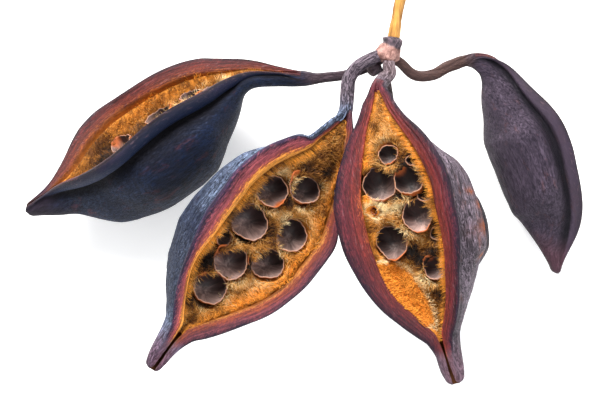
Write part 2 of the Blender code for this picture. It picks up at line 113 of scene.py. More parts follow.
# A pod: its tables of lip, mouth, belly and depth, the scales of each, how far its mouth is off its
# middle, how far the groove under its lips goes in, how thick they roll, its stalk's radius, the way
# its mouth faces, the point of its spine where the mouth starts, its spine, and the step between the
# rings of its mesh.
Pod = namedtuple("Pod", "name form width gape girth deep off neck roll stalk face mouth_at spine step")
EVEN = (LIP_HALF_WIDTH, MOUTH_HALF_WIDTH, BELLY_HALF_WIDTH, DEPTH)
GAPING = (GAPING_LIP, GAPING_MOUTH, BELLY_HALF_WIDTH, ABRUPT_DEPTH)
BLUNT = (LIP_HALF_WIDTH, MOUTH_HALF_WIDTH, BELLY_HALF_WIDTH, BLUNT_DEPTH)
PODS = {pod.name: pod for pod in (
    Pod("front_left", EVEN, 1.06, 1.06, 0.88, 0.93, 1.3, 0.92, 0.25, 1.4, (0.34, -0.26, 0.90), 5,
        ((15.0, 28.0, 22.3), (12.3, 27.0, 23.0), (9.8, 25.5, 22.8), (8.2, 23.4, 22.6),
         (7.8, 20.3, 22.5), (7.4, 17.3, 22.9), (6.0, 14.0, 24.2), (4.65, 11.4, 25.8),
         (3.1, 8.6, 26.8), (0.95, 6.4, 27.7), (-2.9, 2.1, 28.8), (-6.2, -2.5, 29.5),
         (-9.6, -7.0, 30.1), (-13.2, -11.5, 30.5), (-17.2, -15.8, 30.6), (-21.0, -20.2, 30.7),
         (-24.8, -24.7, 30.8), (-28.3, -30.0, 30.8)), RING_STEP["front"]),
    Pod("front_right", EVEN, 0.955, 0.9, 1.07, 0.92, 0.3, 0.93, 0.25, 1.35, (-0.36, -0.09, 0.93), 4,
        ((15.2, 28.0, 22.3), (15.3, 25.6, 23.4), (15.4, 24.5, 23.8), (14.7, 23.5, 24.6),
         (13.7, 22.3, 25.4), (13.7, 18.9, 27.2), (13.95, 15.4, 29.2), (14.3, 11.8, 31.2),
         (15.0, 8.1, 32.8), (16.2, 2.6, 34.3), (17.2, -2.7, 34.9), (18.6, -8.1, 35.0),
         (20.3, -13.5, 34.9), (22.7, -18.9, 34.5), (24.2, -22.6, 34.2), (25.5, -26.4, 33.9),
         (26.3, -29.2, 33.6), (27.3, -32.5, 33.4)), RING_STEP["front"]),
    Pod("left", GAPING, 0.97, 1.0, 1.0, 1.0, 0.0, 0.8, 1.7, 1.0, (-0.383, 0.85, 0.46), 4,
        ((15.0, 27.6, 21.6), (12.7, 26.2, 20.3), (7.5, 24.6, 18.6), (2.6, 24.2, 17.2),
         (-0.8, 23.8, 16.2), (-5.2, 23.9, 15.6), (-9.8, 24.2, 15.2), (-18.2, 22.3, 14.5),
         (-25.6, 19.0, 14.1), (-33.3, 13.8, 13.5), (-39.0, 9.4, 13.0), (-43.9, 4.8, 12.0),
         (-48.4, 1.2, 10.6), (-53.3, -1.3, 9.2)), RING_STEP["side"]),
    Pod("right", BLUNT, 0.76, 1.0, 0.97, 1.0, 0.0, 0.8, 1.2, 1.2, (0.92, 0.37, -0.09), 5,
        ((15.6, 27.6, 21.6), (17.6, 26.5, 20.7), (20.5, 24.4, 18.8), (24.3, 24.6, 16.6),
         (28.2, 26.4, 14.6), (31.8, 27.6, 13.2), (36.0, 26.2, 11.8), (39.9, 21.9, 10.6),
         (43.1, 18.0, 9.6), (45.0, 14.8, 9.1), (46.6, 11.1, 8.8), (47.7, 7.5, 8.6),
         (48.8, 3.8, 8.6), (49.8, 0.2, 8.6), (50.2, -2.7, 8.6), (49.6, -5.6, 8.6),
         (48.5, -8.2, 8.6), (47.9, -10.4, 8.6), (47.8, -13.3, 8.6)), RING_STEP["side"]),
    Pod("back", EVEN, 0.86, 1.0, 1.12, 0.84, 0.0, 0.92, 0.25, 0.95, (0.0, 0.0, -1.0), 5,
        ((15.2, 27.4, 21.8), (15.0, 25.4, 20.3), (15.2, 23.2, 17.5), (15.8, 19.6, 13.0),
         (16.4, 15.0, 8.5), (17.6, 10.4, 5.0), (19.6, 5.0, 3.2), (21.4, -0.6, 2.6),
         (22.9, -6.1, 2.6), (23.8, -11.5, 2.6), (24.5, -16.6, 2.6), (25.2, -20.4, 2.6),
         (26.0, -23.6, 2.8)), RING_STEP["side"]),
)}


def curve(u, first, rise, second, second_rise):
    """Between two values at shares u of the way, by the rise of the curve at each end."""
    return (first * (1 + 2 * u) * (1 - u) ** 2 + rise * u * (1 - u) ** 2
            + second * u * u * (3 - 2 * u) + second_rise * u * u * (u - 1))


def along(keys, share):
    """Values at shares, on a curve through the keys that never overshoots them."""
    at, value = np.array(keys, float).T
    rise = np.diff(value) / np.diff(at)
    slope = np.concatenate([rise[:1], np.zeros(len(rise) - 1), rise[-1:]])
    same_way = rise[1:] * rise[:-1] > 0
    slope[1:-1][same_way] = (2 * rise[1:] * rise[:-1])[same_way] / (rise[1:] + rise[:-1])[same_way]
    i = np.clip(np.searchsorted(at, share) - 1, 0, len(at) - 2)
    span = at[i + 1] - at[i]
    u = np.clip((share - at[i]) / span, 0, 1)
    return curve(u, value[i], slope[i] * span, value[i + 1], slope[i + 1] * span)


def eased(value, low, high):
    """0 below low, 1 above high and a smooth rise between them."""
    u = np.clip((value - low) / (high - low), 0, 1)
    return u * u * (3 - 2 * u)


def unit(vectors):
    return vectors / np.linalg.norm(vectors, axis=-1, keepdims=True)


def ripple(places):
    """Smooth noise from -1 to 1 at an array of places."""
    flat = np.reshape(places, (-1, 3)).tolist()
    return np.array([noise.noise(place) for place in flat]).reshape(np.shape(places)[:-1])


class Spine:
    """A smooth curve through a list of points, measured along its length."""

    FINE = 24  # samples between two points
    REACH = 1.0  # to each side, that the way it runs is measured over

    def __init__(self, points):
        points = np.array(points, float)
        knots = np.concatenate([[0], np.cumsum(np.linalg.norm(np.diff(points, axis=0), axis=1))])
        slope = np.gradient(points, knots, axis=0)
        samples = []
        for i in range(len(points) - 1):
            span = knots[i + 1] - knots[i]
            u = np.linspace(0, 1, self.FINE, endpoint=False)[:, None]
            samples.append(curve(u, points[i], slope[i] * span, points[i + 1], slope[i + 1] * span))
        self.samples = np.concatenate([*samples, points[-1:]])
        steps = np.linalg.norm(np.diff(self.samples, axis=0), axis=1)
        self.lengths = np.concatenate([[0], np.cumsum(steps)])

    def length_at(self, point_index):
        return self.lengths[point_index * self.FINE]

    def point(self, lengths):
        return np.stack([np.interp(lengths, self.lengths, self.samples[:, k]) for k in range(3)], -1)

    def place(self, lengths, face):
        """Where the spine is at each length, the way it runs, and the right and up that face gives."""
        run = unit(self.point(lengths + self.REACH) - self.point(lengths - self.REACH))
        up = unit(np.array(face) - (run @ np.array(face))[..., None] * run)
        return self.point(lengths), run, np.cross(up, run), up


def half_sections(share, pod):
    """Right halves of a pod's sections, as plain ovals and as folded in round the mouth."""
    scales = (pod.width, pod.width * pod.gape, pod.width * pod.girth, pod.deep, pod.width, pod.width)
    lip, mouth, belly, depth, height, drop = (
        scale * along(keys, share)
        for scale, keys in zip(scales, (*pod.form, LIP_HEIGHT, LIP_DROP)))
    wall = np.minimum(WALL, 0.36 * belly)
    middle = height - 0.48 * depth
    back = 0.52 * depth
    inner = height - drop
    floor = middle - back + wall
    inside = belly - wall
    face = lip - mouth
    neck = np.minimum(mouth + mouth_shift(pod, share) + 0.6, lip)
    under = np.minimum(0.2 * (height - middle), 1.6)
    roll = np.minimum(pod.roll, 0.5 * (height - middle)) * eased(share, 0.02, 0.3) * (
        1 - eased(share, 0.75, 0.95))
    low, lower = np.radians((-28, -60))
    angles = np.radians((-90, -66, -43, -21, 0))
    points = [(belly * np.cos(a), middle + back * np.sin(a)) for a in angles]
    points += [
        (0.985 * belly, middle + 0.32 * (height - middle)),
        (np.maximum(pod.neck * np.minimum(lip, belly), neck), height - under - roll),
        (lip - 0.1 * face, height - 0.42 * drop - roll),
        (lip, height - 0.12 * drop),
        (lip - 0.12 * face, height + 0.13 * drop),
        (lip - 0.32 * face, height + 0.02 * drop),
        (lip - 0.56 * face, height - 0.3 * drop),
        (lip - 0.8 * face, height - 0.62 * drop),
        (mouth, inner),
        (mouth + 0.1 * (inside - mouth), inner - 0.08 * (inner - floor)),
        (mouth + 0.75 * (inside - mouth), inner - 0.3 * (inner - floor)),
        (inside * np.cos(low), middle + (back - wall) * np.sin(low)),
        (inside * np.cos(lower), middle + (back - wall) * np.sin(lower)),
        (0 * floor, floor),
    ]
    opened = np.stack([np.stack(np.broadcast_arrays(x, z), -1) for x, z in points], -2)
    top = np.where(OVAL_ANGLES > 0, height[..., None], (depth - height)[..., None])
    oval = np.stack([belly[..., None] * np.cos(OVAL_ANGLES), top * np.sin(OVAL_ANGLES)], -1)
    return oval, opened


def mirrored(half):
    """Whole rings from their right halves."""
    return np.concatenate([half, half[..., -2:0:-1, :] * (-1, 1)], -2)


def pod_rings(share, pod):
    oval, opened = half_sections(share, pod)
    return mirrored(oval + (opened - oval) * along(OPENNESS, share)[..., None, None])


def mouth_shift(pod, share):
    """How far the mouth's middle is to the right of the pod's, since one lip is broader."""
    return pod.off * eased(share, 0.13, 0.24) * (1 - eased(share, 0.52, 0.7))


def stalk_rings(progress, to_mouth, pod):
    """The round stalk's sections, at the back of the hood that it swells into."""
    hood = pod_rings(np.zeros(1), pod)
    radius = pod.stalk * (0.75 + 0.25 * progress)
    lowest = hood[..., 1].min() + radius
    ring = mirrored(np.stack([np.cos(OVAL_ANGLES), np.sin(OVAL_ANGLES)], -1)[None])
    ring = radius[:, None, None] * ring + np.stack([0 * progress, lowest * progress], -1)[:, None]
    return ring + (hood - ring) * eased(1 - to_mouth / HOOD, 0, 1)[:, None, None]


def smooth_loops(corners, steps):
    """Closed smooth loops through corners, with the given number of points from each to the next."""
    ahead = np.roll(corners, -1, 1) - corners
    span = np.linalg.norm(ahead, axis=-1, keepdims=True) + 1e-6
    before = np.roll(span, 1, 1)
    slope = (ahead / span * before + np.roll(ahead / span, 1, 1) * span) / (span + before)
    after = np.roll(slope, -1, 1)
    loops = []
    for i, count in enumerate(steps):
        u = (np.arange(count) / count)[None, :, None]
        a, b = corners[:, i, None], np.roll(corners, -1, 1)[:, i, None]
        h = span[:, i, None]
        loops.append(curve(u, a, slope[:, i, None] * h, b, after[:, i, None] * h))
    return np.concatenate(loops, 1)


def around(values, steps):
    """Values given at a half section's corners, spread over the points of the whole loop."""
    values = np.concatenate([values, values[-2::-1]])
    at = np.concatenate([[0], np.cumsum(steps)])
    return np.interp(np.arange(at[-1]), at, values)


class Course:
    """Where a pod's sections stand on its spine."""

    def __init__(self, pod):
        self.pod = pod
        self.spine = Spine(pod.spine)
        self.mouth = self.spine.length_at(pod.mouth_at)
        self.rest = self.spine.lengths[-1] - self.mouth

    def length(self, share):
        return self.mouth + np.asarray(share, float) * self.rest

    def set_in(self, lengths, flat):
        """Flat points (right, up) of each length, set into the bunch's frame."""
        point, _, right, up = self.spine.place(lengths, self.pod.face)
        return (point[:, None] - MIDDLE + flat[..., :1] * right[:, None] + flat[..., 1:] * up[:, None])


def grid_normals(points):
    """Outward normals of a grid of points, whose columns run round it."""
    normals = np.cross(np.roll(points, -1, 1) - np.roll(points, 1, 1), np.gradient(points, axis=0))
    return normals / (np.linalg.norm(normals, axis=-1, keepdims=True) + 1e-9)


def tube_faces(rows, columns, start=0):
    """Faces of a tube of rings, with a fan on each end round the two points that follow the rings."""
    row, column = np.meshgrid(np.arange(rows - 1), np.arange(columns), indexing="ij")
    beside = (column + 1) % columns
    quads = np.stack([row * columns + column, row * columns + beside,
                      (row + 1) * columns + beside, (row + 1) * columns + column], -1)
    first, last = rows * columns, (rows - 1) * columns
    ends = [(i, first, (i + 1) % columns) for i in range(columns)]
    ends += [(last + i, last + (i + 1) % columns, first + 1) for i in range(columns)]
    return (quads.reshape(-1, 4) + start).tolist(), [tuple(k + start for k in face) for face in ends]


def with_ends(rings):
    """The points of a tube's rings in one list, and after them the middle of each end."""
    return np.concatenate([rings.reshape(-1, 3), rings[[0, -1]].mean(1)])


def with_lengths(flat, lengths):
    """Flat points of each length, with that length as their third part."""
    return np.concatenate([flat, np.broadcast_to(lengths[:, None, None], (*flat.shape[:2], 1))], -1)


def placed(name, data):
    """An object in the scene with the data."""
    made = bpy.data.objects.new(name, data)
    bpy.context.scene.collection.objects.link(made)
    return made


def add_piece(name, points, faces, material, values=None, vectors=None):
    """A smooth mesh object of points in mm, with its values and vectors stored at each point."""
    data = bpy.data.meshes.new(name)
    data.from_pydata((points * MM).tolist(), [], faces)
    for kind, stores, field in (("FLOAT", values, "value"), ("FLOAT_VECTOR", vectors, "vector")):
        for title, numbers in (stores or {}).items():
            made = data.attributes.new(title, kind, "POINT")
            made.data.foreach_set(field, np.ascontiguousarray(numbers, np.float32).ravel())
    data.shade_smooth()
    data.materials.append(material)
    return placed(name, data)


# How much a skin crinkles and how much its lips are ridged, and how much every skin swells, in mm.
CRINKLE_AND_RIDGE = {"front_left": (0.17, 0.05), "front_right": (0.14, 0.05), "left": (0.06, 0.04),
                     "right": (0.07, 0.04), "back": (0.12, 0.04)}
SWELL = 0.3


def shell_relief(name, flat, lengths, band, shares):
    """How far the skin of a pod stands out from its plain form, at each point of its mesh."""
    crinkled, ridged = CRINKLE_AND_RIDGE[name]
    place = with_lengths(flat, lengths)
    length = place[..., 2]
    seed = np.array([0, 0, 71.0 * len(name)])
    skin = 1 - eased(band, -0.12, -0.02)
    lip = eased(band, -0.02, 0.1) * (1 - eased(band, 0.9, 1.0))
    crinkle = 1 - 2 * np.abs(ripple(place * (0.62, 0.62, 0.2) + seed))
    crinkle = 0.7 * crinkle + 0.3 * ripple(place * (1.3, 1.3, 0.5) + seed)
    swell = ripple(place * (0.13, 0.13, 0.08) + seed + 9)
    ridge = ripple(np.stack([np.broadcast_to(7 * band, length.shape), 0 * length, length * 0.05
                             + 5 * np.sign(flat[..., 0])], -1))
    full = eased(shares, 0.1, 0.35)[:, None] * (1 - eased(shares, 0.8, 0.92))[:, None]
    return (skin * (crinkled * crinkle * (0.45 + 0.55 * full) + SWELL * full * swell)
            + lip * ridged * 2 * ridge)


def seen(red, green, blue):
    """A colour as the eye sees it, 0 to 255 in each of its parts, made linear."""
    return tuple((part / 255) ** 2.2 for part in (red, green, blue)) + (1,)


def new_group(name, inputs, outputs):
    """A node group with named sockets, and its input and output nodes."""
    group = bpy.data.node_groups.new(name, "ShaderNodeTree")
    for way, sockets in (("INPUT", inputs), ("OUTPUT", outputs)):
        for title, kind in sockets.items():
            group.interface.new_socket(name=title, in_out=way, socket_type="NodeSocket" + kind)
    return group, group.nodes.new("NodeGroupInput"), group.nodes.new("NodeGroupOutput")


def feed(tree, made, inputs):
    """Link a node's inputs to sockets, or set them to values."""
    for key, value in inputs.items():
        if isinstance(value, bpy.types.NodeSocket):
            tree.links.new(value, made.inputs[key])
        else:
            made.inputs[key].default_value = value


def node(tree, kind, inputs=None, **settings):
    """A node of a kind with its settings and its inputs."""
    made = tree.nodes.new("ShaderNode" + kind)
    for title, value in settings.items():
        setattr(made, title, value)
    feed(tree, made, inputs or {})
    return made


def blended(tree, share, first, second):
    """The colour between two, at a share of the way."""
    return node(tree, "Mix", {0: share, 6: first, 7: second}, data_type="RGBA").outputs[2]


def stepped(tree, value, low, high, to_low=0.0, to_high=1.0, how="SMOOTHSTEP"):
    """A value's rise between two limits, smooth unless it is to be LINEAR."""
    inputs = {"Value": value, "From Min": low, "From Max": high, "To Min": to_low, "To Max": to_high}
    return node(tree, "MapRange", inputs, interpolation_type=how).outputs[0]


def stretched(tree, vector, scale):
    return node(tree, "Mapping", {"Vector": vector, "Scale": scale}, vector_type="POINT").outputs[0]


def cloudy(tree, vector, scale, detail=4.0, roughness=0.55, distortion=0.0):
    """Noise from 0 to 1 at a scale per mm."""
    inputs = {"Vector": vector, "Scale": scale, "Detail": detail, "Roughness": roughness,
              "Distortion": distortion}
    return node(tree, "TexNoise", inputs).outputs["Fac"]


def sum_of(tree, first, second, how="ADD"):
    return node(tree, "Math", {0: first, 1: second}, operation=how).outputs[0]


def times(tree, first, second):
    return sum_of(tree, first, second, "MULTIPLY")


def shaded(tree, colour, shade):
    """A colour made lighter or darker."""
    return node(tree, "VectorMath", {0: colour, "Scale": shade}, operation="SCALE").outputs[0]


def stored(tree, *titles):
    """The values of those names that are stored at the mesh's points."""
    return [node(tree, "Attribute", attribute_name=title).outputs["Fac"] for title in titles]


def stored_place(tree, title="fibre"):
    """The places stored at the mesh's points: across, up and along the piece, in mm."""
    return node(tree, "Attribute", attribute_name=title).outputs["Vector"]


def new_material(name):
    """A material, its nodes and its shader."""
    material = bpy.data.materials.new(name)
    material.use_nodes = True
    return material, material.node_tree, material.node_tree.nodes["Principled BSDF"]


def make_skin_group():
    """Dried skin: long fibres with a painted highlight on their ridges, crinkles between them darkened
    as painted shade, and rusty flecks where it is worn.
    """
    group, given, made = new_group(
        "Dried skin",
        {"Fibre": "Vector", "Dark": "Color", "Light": "Color", "Fleck": "Color", "Crinkle": "Float",
         "Flecks": "Float"},
        {"Color": "Color", "Height": "Float", "Roughness": "Float"})
    fibre = given.outputs["Fibre"]
    strands = cloudy(group, stretched(group, fibre, (1.0, 1.0, 0.13)), 2.9, 8, 0.62, 0.9)
    lines = cloudy(group, stretched(group, fibre, (1.0, 1.0, 0.24)), 2.0, 4, 0.6, 1.3)
    cracks = sum_of(group, sum_of(group, lines, 0.5, "SUBTRACT"), 0.0, "ABSOLUTE")
    cracks = stepped(group, cracks, 0.0, 0.065)
    patches = cloudy(group, stretched(group, fibre, (1.0, 1.0, 0.55)), 0.2, 5, 0.65, 0.4)
    # Lighter on the raised strands of the fibres, a painted highlight, and varied in broad patches of
    # tone.
    ridge_light_and_tone = times(group, stepped(group, strands, 0.32, 0.62),
                stepped(group, patches, 0.3, 0.75, 0.35, 1.15))
    colour = blended(group, ridge_light_and_tone, given.outputs["Dark"], given.outputs["Light"])
    worn = cloudy(group, stretched(group, fibre, (1.0, 1.0, 0.4)), 0.42, 5, 0.7, 0.4)
    worn = times(group, stepped(group, worn, 0.55, 0.74), given.outputs["Flecks"])
    colour = blended(group, worn, colour, given.outputs["Fleck"])
    # Crinkle sets how far the cracks are darkened towards near black: painted shade in the crinkles.
    deep = times(group, sum_of(group, 1.0, cracks, "SUBTRACT"), given.outputs["Crinkle"])
    feed(group, made, {
        "Color": blended(group, times(group, deep, 0.75), colour, seen(14, 13, 20)),
        "Height": sum_of(group, times(group, strands, 0.7), deep, "SUBTRACT"),
        "Roughness": stepped(group, strands, 0.3, 0.75, 0.72, 0.5)})
    return group


def make_lip_group():
    """Lip wood: four bands of colour from its outer edge to its inner, in fine stripes, with pale
    streaks of painted highlight.
    """
    group, given, made = new_group(
        "Lip bands",
        {"Band": "Float", "Fibre": "Vector", "Edge": "Color", "Rose": "Color", "Ember": "Color",
         "Gold": "Color", "Gold Start": "Float"},
        {"Color": "Color", "Height": "Float"})
    fibre = given.outputs["Fibre"]
    drift = cloudy(group, stretched(group, fibre, (0.5, 0.5, 0.16)), 0.8, 4, 0.6)
    drift = stepped(group, drift, 0.0, 1.0, -0.26, 0.26, "LINEAR")
    grit = cloudy(group, stretched(group, fibre, (1.0, 1.0, 0.3)), 4.2, 6, 0.75, 0.6)
    speckle = stepped(group, grit, 0.3, 0.7, -0.2, 0.2, "LINEAR")
    band = sum_of(group, sum_of(group, given.outputs["Band"], drift), speckle)
    colour = blended(group, stepped(group, band, 0.06, 0.46), given.outputs["Edge"],
                     given.outputs["Rose"])
    colour = blended(group, stepped(group, band, 0.48, 0.84), colour, given.outputs["Ember"])
    start = given.outputs["Gold Start"]
    colour = blended(group, stepped(group, band, start, sum_of(group, start, 0.22)), colour,
                     given.outputs["Gold"])
    split = node(group, "SeparateXYZ", {"Vector": fibre})
    across = node(group, "CombineXYZ", {"X": times(group, given.outputs["Band"], 9.0),
                                        "Y": times(group, split.outputs["X"], 0.25),
                                        "Z": times(group, split.outputs["Z"], 0.09)})
    stripes = cloudy(group, across.outputs[0], 1.0, 8, 0.72, 0.45)
    striped = shaded(group, colour, times(group, stepped(group, stripes, 0.34, 0.66, 0.35, 1.25),
                                          stepped(group, grit, 0.32, 0.68, 0.62, 1.35)))
    # Pale pink streaks here and there: a painted highlight.
    painted_highlight = cloudy(group, stretched(group, fibre, (1.0, 1.0, 0.22)), 2.2, 6, 0.7, 0.5)
    painted_highlight = stepped(group, painted_highlight, 0.54, 0.8, 0.0, 0.3)
    feed(group, made, {"Color": blended(group, painted_highlight, striped, seen(186, 146, 150)),
                       "Height": sum_of(group, stripes, grit)})
    return group


skin_group = make_skin_group()
lip_group = make_lip_group()

# Colours of a pod's skin, stem and beak, and of its lips from the outer edge to the inner.
# The skin's light colour is also its painted highlight; crinkle sets the painted shade in its cracks,
# and the last number sets the painted shade in the groove under the lips and the painted highlight on
# their roll.
Finish = namedtuple("Finish", "dark light fleck crinkle flecks stem_dark stem_light beak edge rose "
                    "ember gold gold_start groove")
FINISH = {
    "front_left": Finish(seen(12, 22, 50), seen(160, 180, 218), seen(104, 60, 70), 1.0, 0.3,
                         seen(70, 60, 72), seen(136, 122, 134), seen(112, 88, 108),
                         seen(48, 34, 60), seen(166, 84, 92), seen(208, 98, 56),
                         seen(255, 170, 76), 0.62, 0.2),
    "front_right": Finish(seen(48, 38, 48), seen(164, 146, 162), seen(150, 78, 44), 0.8, 0.5,
                          seen(96, 78, 82), seen(154, 136, 142), seen(122, 98, 112),
                          seen(38, 24, 42), seen(94, 38, 46), seen(116, 46, 42),
                          seen(184, 92, 46), 0.92, 0.35),
    "left": Finish(seen(6, 14, 36), seen(32, 50, 84), seen(76, 44, 58), 0.4, 1.0,
                   seen(48, 38, 46), seen(86, 70, 78), seen(40, 32, 46),
                   seen(34, 26, 40), seen(86, 38, 38), seen(104, 46, 34), seen(136, 74, 36), 0.85, 1.0),
    "right": Finish(seen(40, 33, 46), seen(86, 74, 90), seen(98, 60, 56), 0.25, 0.7,
                    seen(40, 31, 38), seen(96, 72, 66), seen(74, 50, 60),
                    seen(40, 30, 44), seen(88, 48, 52), seen(134, 66, 48), seen(176, 96, 40), 0.85, 0.9),
    "back": Finish(seen(34, 28, 38), seen(96, 84, 96), seen(120, 66, 46), 0.6, 0.6,
                   seen(56, 44, 46), seen(110, 92, 94), seen(100, 80, 90),
                   seen(50, 34, 48), seen(112, 52, 54), seen(144, 64, 46), seen(186, 96, 40), 0.85, 0.4),
}
SKIN_BUMP, LIP_BUMP = 0.34 * MM, 0.2 * MM


def shell_material(name):
    """Weathered skin outside, banded lips, and orange wood inside, by the band across a section, with
    painted shade and highlights.
    """
    finish = FINISH[name]
    material, tree, shader = new_material("pod_wood_" + name)
    band, stem, beak, rust, gild, dusk = stored(tree, "band", "stem", "beak", "rust", "gild", "dusk")
    fibre = stored_place(tree)
    # Where a lip is not gilt it is less golden, and darkened as painted shade.
    ungilt_and_shaded = sum_of(tree, 1.0, gild, "SUBTRACT")
    skin = node(tree, "Group", node_tree=skin_group, name="skin")
    feed(tree, skin, {"Fibre": fibre, "Dark": finish.dark, "Light": finish.light,
                      "Fleck": finish.fleck, "Crinkle": finish.crinkle, "Flecks": finish.flecks})
    lips = node(tree, "Group", node_tree=lip_group, name="lips")
    feed(tree, lips, {"Band": band, "Fibre": fibre, "Edge": finish.edge, "Rose": finish.rose,
                      "Ember": finish.ember, "Gold": finish.gold,
                      "Gold Start": sum_of(tree, finish.gold_start, times(tree, ungilt_and_shaded, 0.25))})
    grain = skin.outputs["Height"]
    # The skin: painted shade in the groove outside the lips, a painted highlight on their roll, painted
    # shade low on the front left pod's flank, with rust and a bare beak.
    # Near black in the groove under the lips: painted shade.
    groove = times(tree, stepped(tree, band, -0.3, -0.14), stepped(tree, band, -0.11, -0.07, 1, 0))
    outer = blended(tree, times(tree, groove, finish.groove), skin.outputs["Color"], seen(16, 14, 24))
    # Lighter on the lips' roll: a painted highlight, as strong as the groove's painted shade.
    rolled = times(tree, stepped(tree, band, -0.1, -0.05), 0.85 * finish.groove)
    outer = blended(tree, rolled, outer, finish.light)
    # Darker low on the front left pod's flank: painted shade.
    outer = blended(tree, dusk, outer, finish.dark)
    beak_shade = stepped(tree, grain, -0.5, 0.8, 0.5, 1.3)
    outer = blended(tree, beak, outer, shaded(tree, finish.beak[:3], beak_shade))
    rusted = times(tree, rust, stepped(tree, cloudy(tree, fibre, 1.6, 4, 0.6), 0.3, 0.5))
    outer = blended(tree, rusted, outer, seen(176, 92, 44))
    # The lips turned out from the mouth, darkened as painted shade where not gilt, the stalk, and the
    # bare wood in the hollow, darkened as painted shade in the beak.
    turned = times(tree, stepped(tree, band, -0.1, 0.03), stepped(tree, beak, 0.2, 1.0, 1.0, 0.25))
    # Darkened towards black where a lip is not gilt: painted shade.
    banded = blended(tree, times(tree, ungilt_and_shaded, 0.66), lips.outputs["Color"], (0.012, 0.006, 0.014, 1))
    colour = blended(tree, turned, outer, banded)
    barky = blended(tree, stepped(tree, grain, -0.6, 0.9), finish.stem_dark, finish.stem_light)
    colour = blended(tree, stem, colour, barky)
    hollow = blended(tree, cloudy(tree, fibre, 0.9, 5), seen(94, 46, 18), seen(206, 122, 40))
    # Darker in the beak's narrow hollow: painted shade.
    hollow = blended(tree, times(tree, beak, 0.8), hollow, seen(40, 22, 18))
    colour = blended(tree, stepped(tree, band, 0.98, 1.12), colour, hollow)
    rough = node(tree, "Mix", {0: turned, 2: skin.outputs["Roughness"], 3: 0.6}, data_type="FLOAT")
    skin_bump = node(tree, "Bump", {"Height": grain, "Distance": SKIN_BUMP,
                                    "Strength": sum_of(tree, 1.0, turned, "SUBTRACT")})
    bump = node(tree, "Bump", {"Height": lips.outputs["Height"], "Distance": LIP_BUMP,
                               "Strength": turned, "Normal": skin_bump.outputs[0]})
    feed(tree, shader, {"Base Color": colour, "Specular IOR Level": 0.25,
                        "Roughness": rough.outputs[0], "Normal": bump.outputs[0]})
    return material


# Rusty spots on a pod's right flank: (share, band, size in mm).
RUST = {"front_right": ((0.475, -0.42, 1.1), (0.5, -0.5, 0.8), (0.555, -0.4, 1.5), (0.6, -0.52, 0.7),
                        (0.42, -0.3, 0.6), (0.66, -0.36, 0.8))}


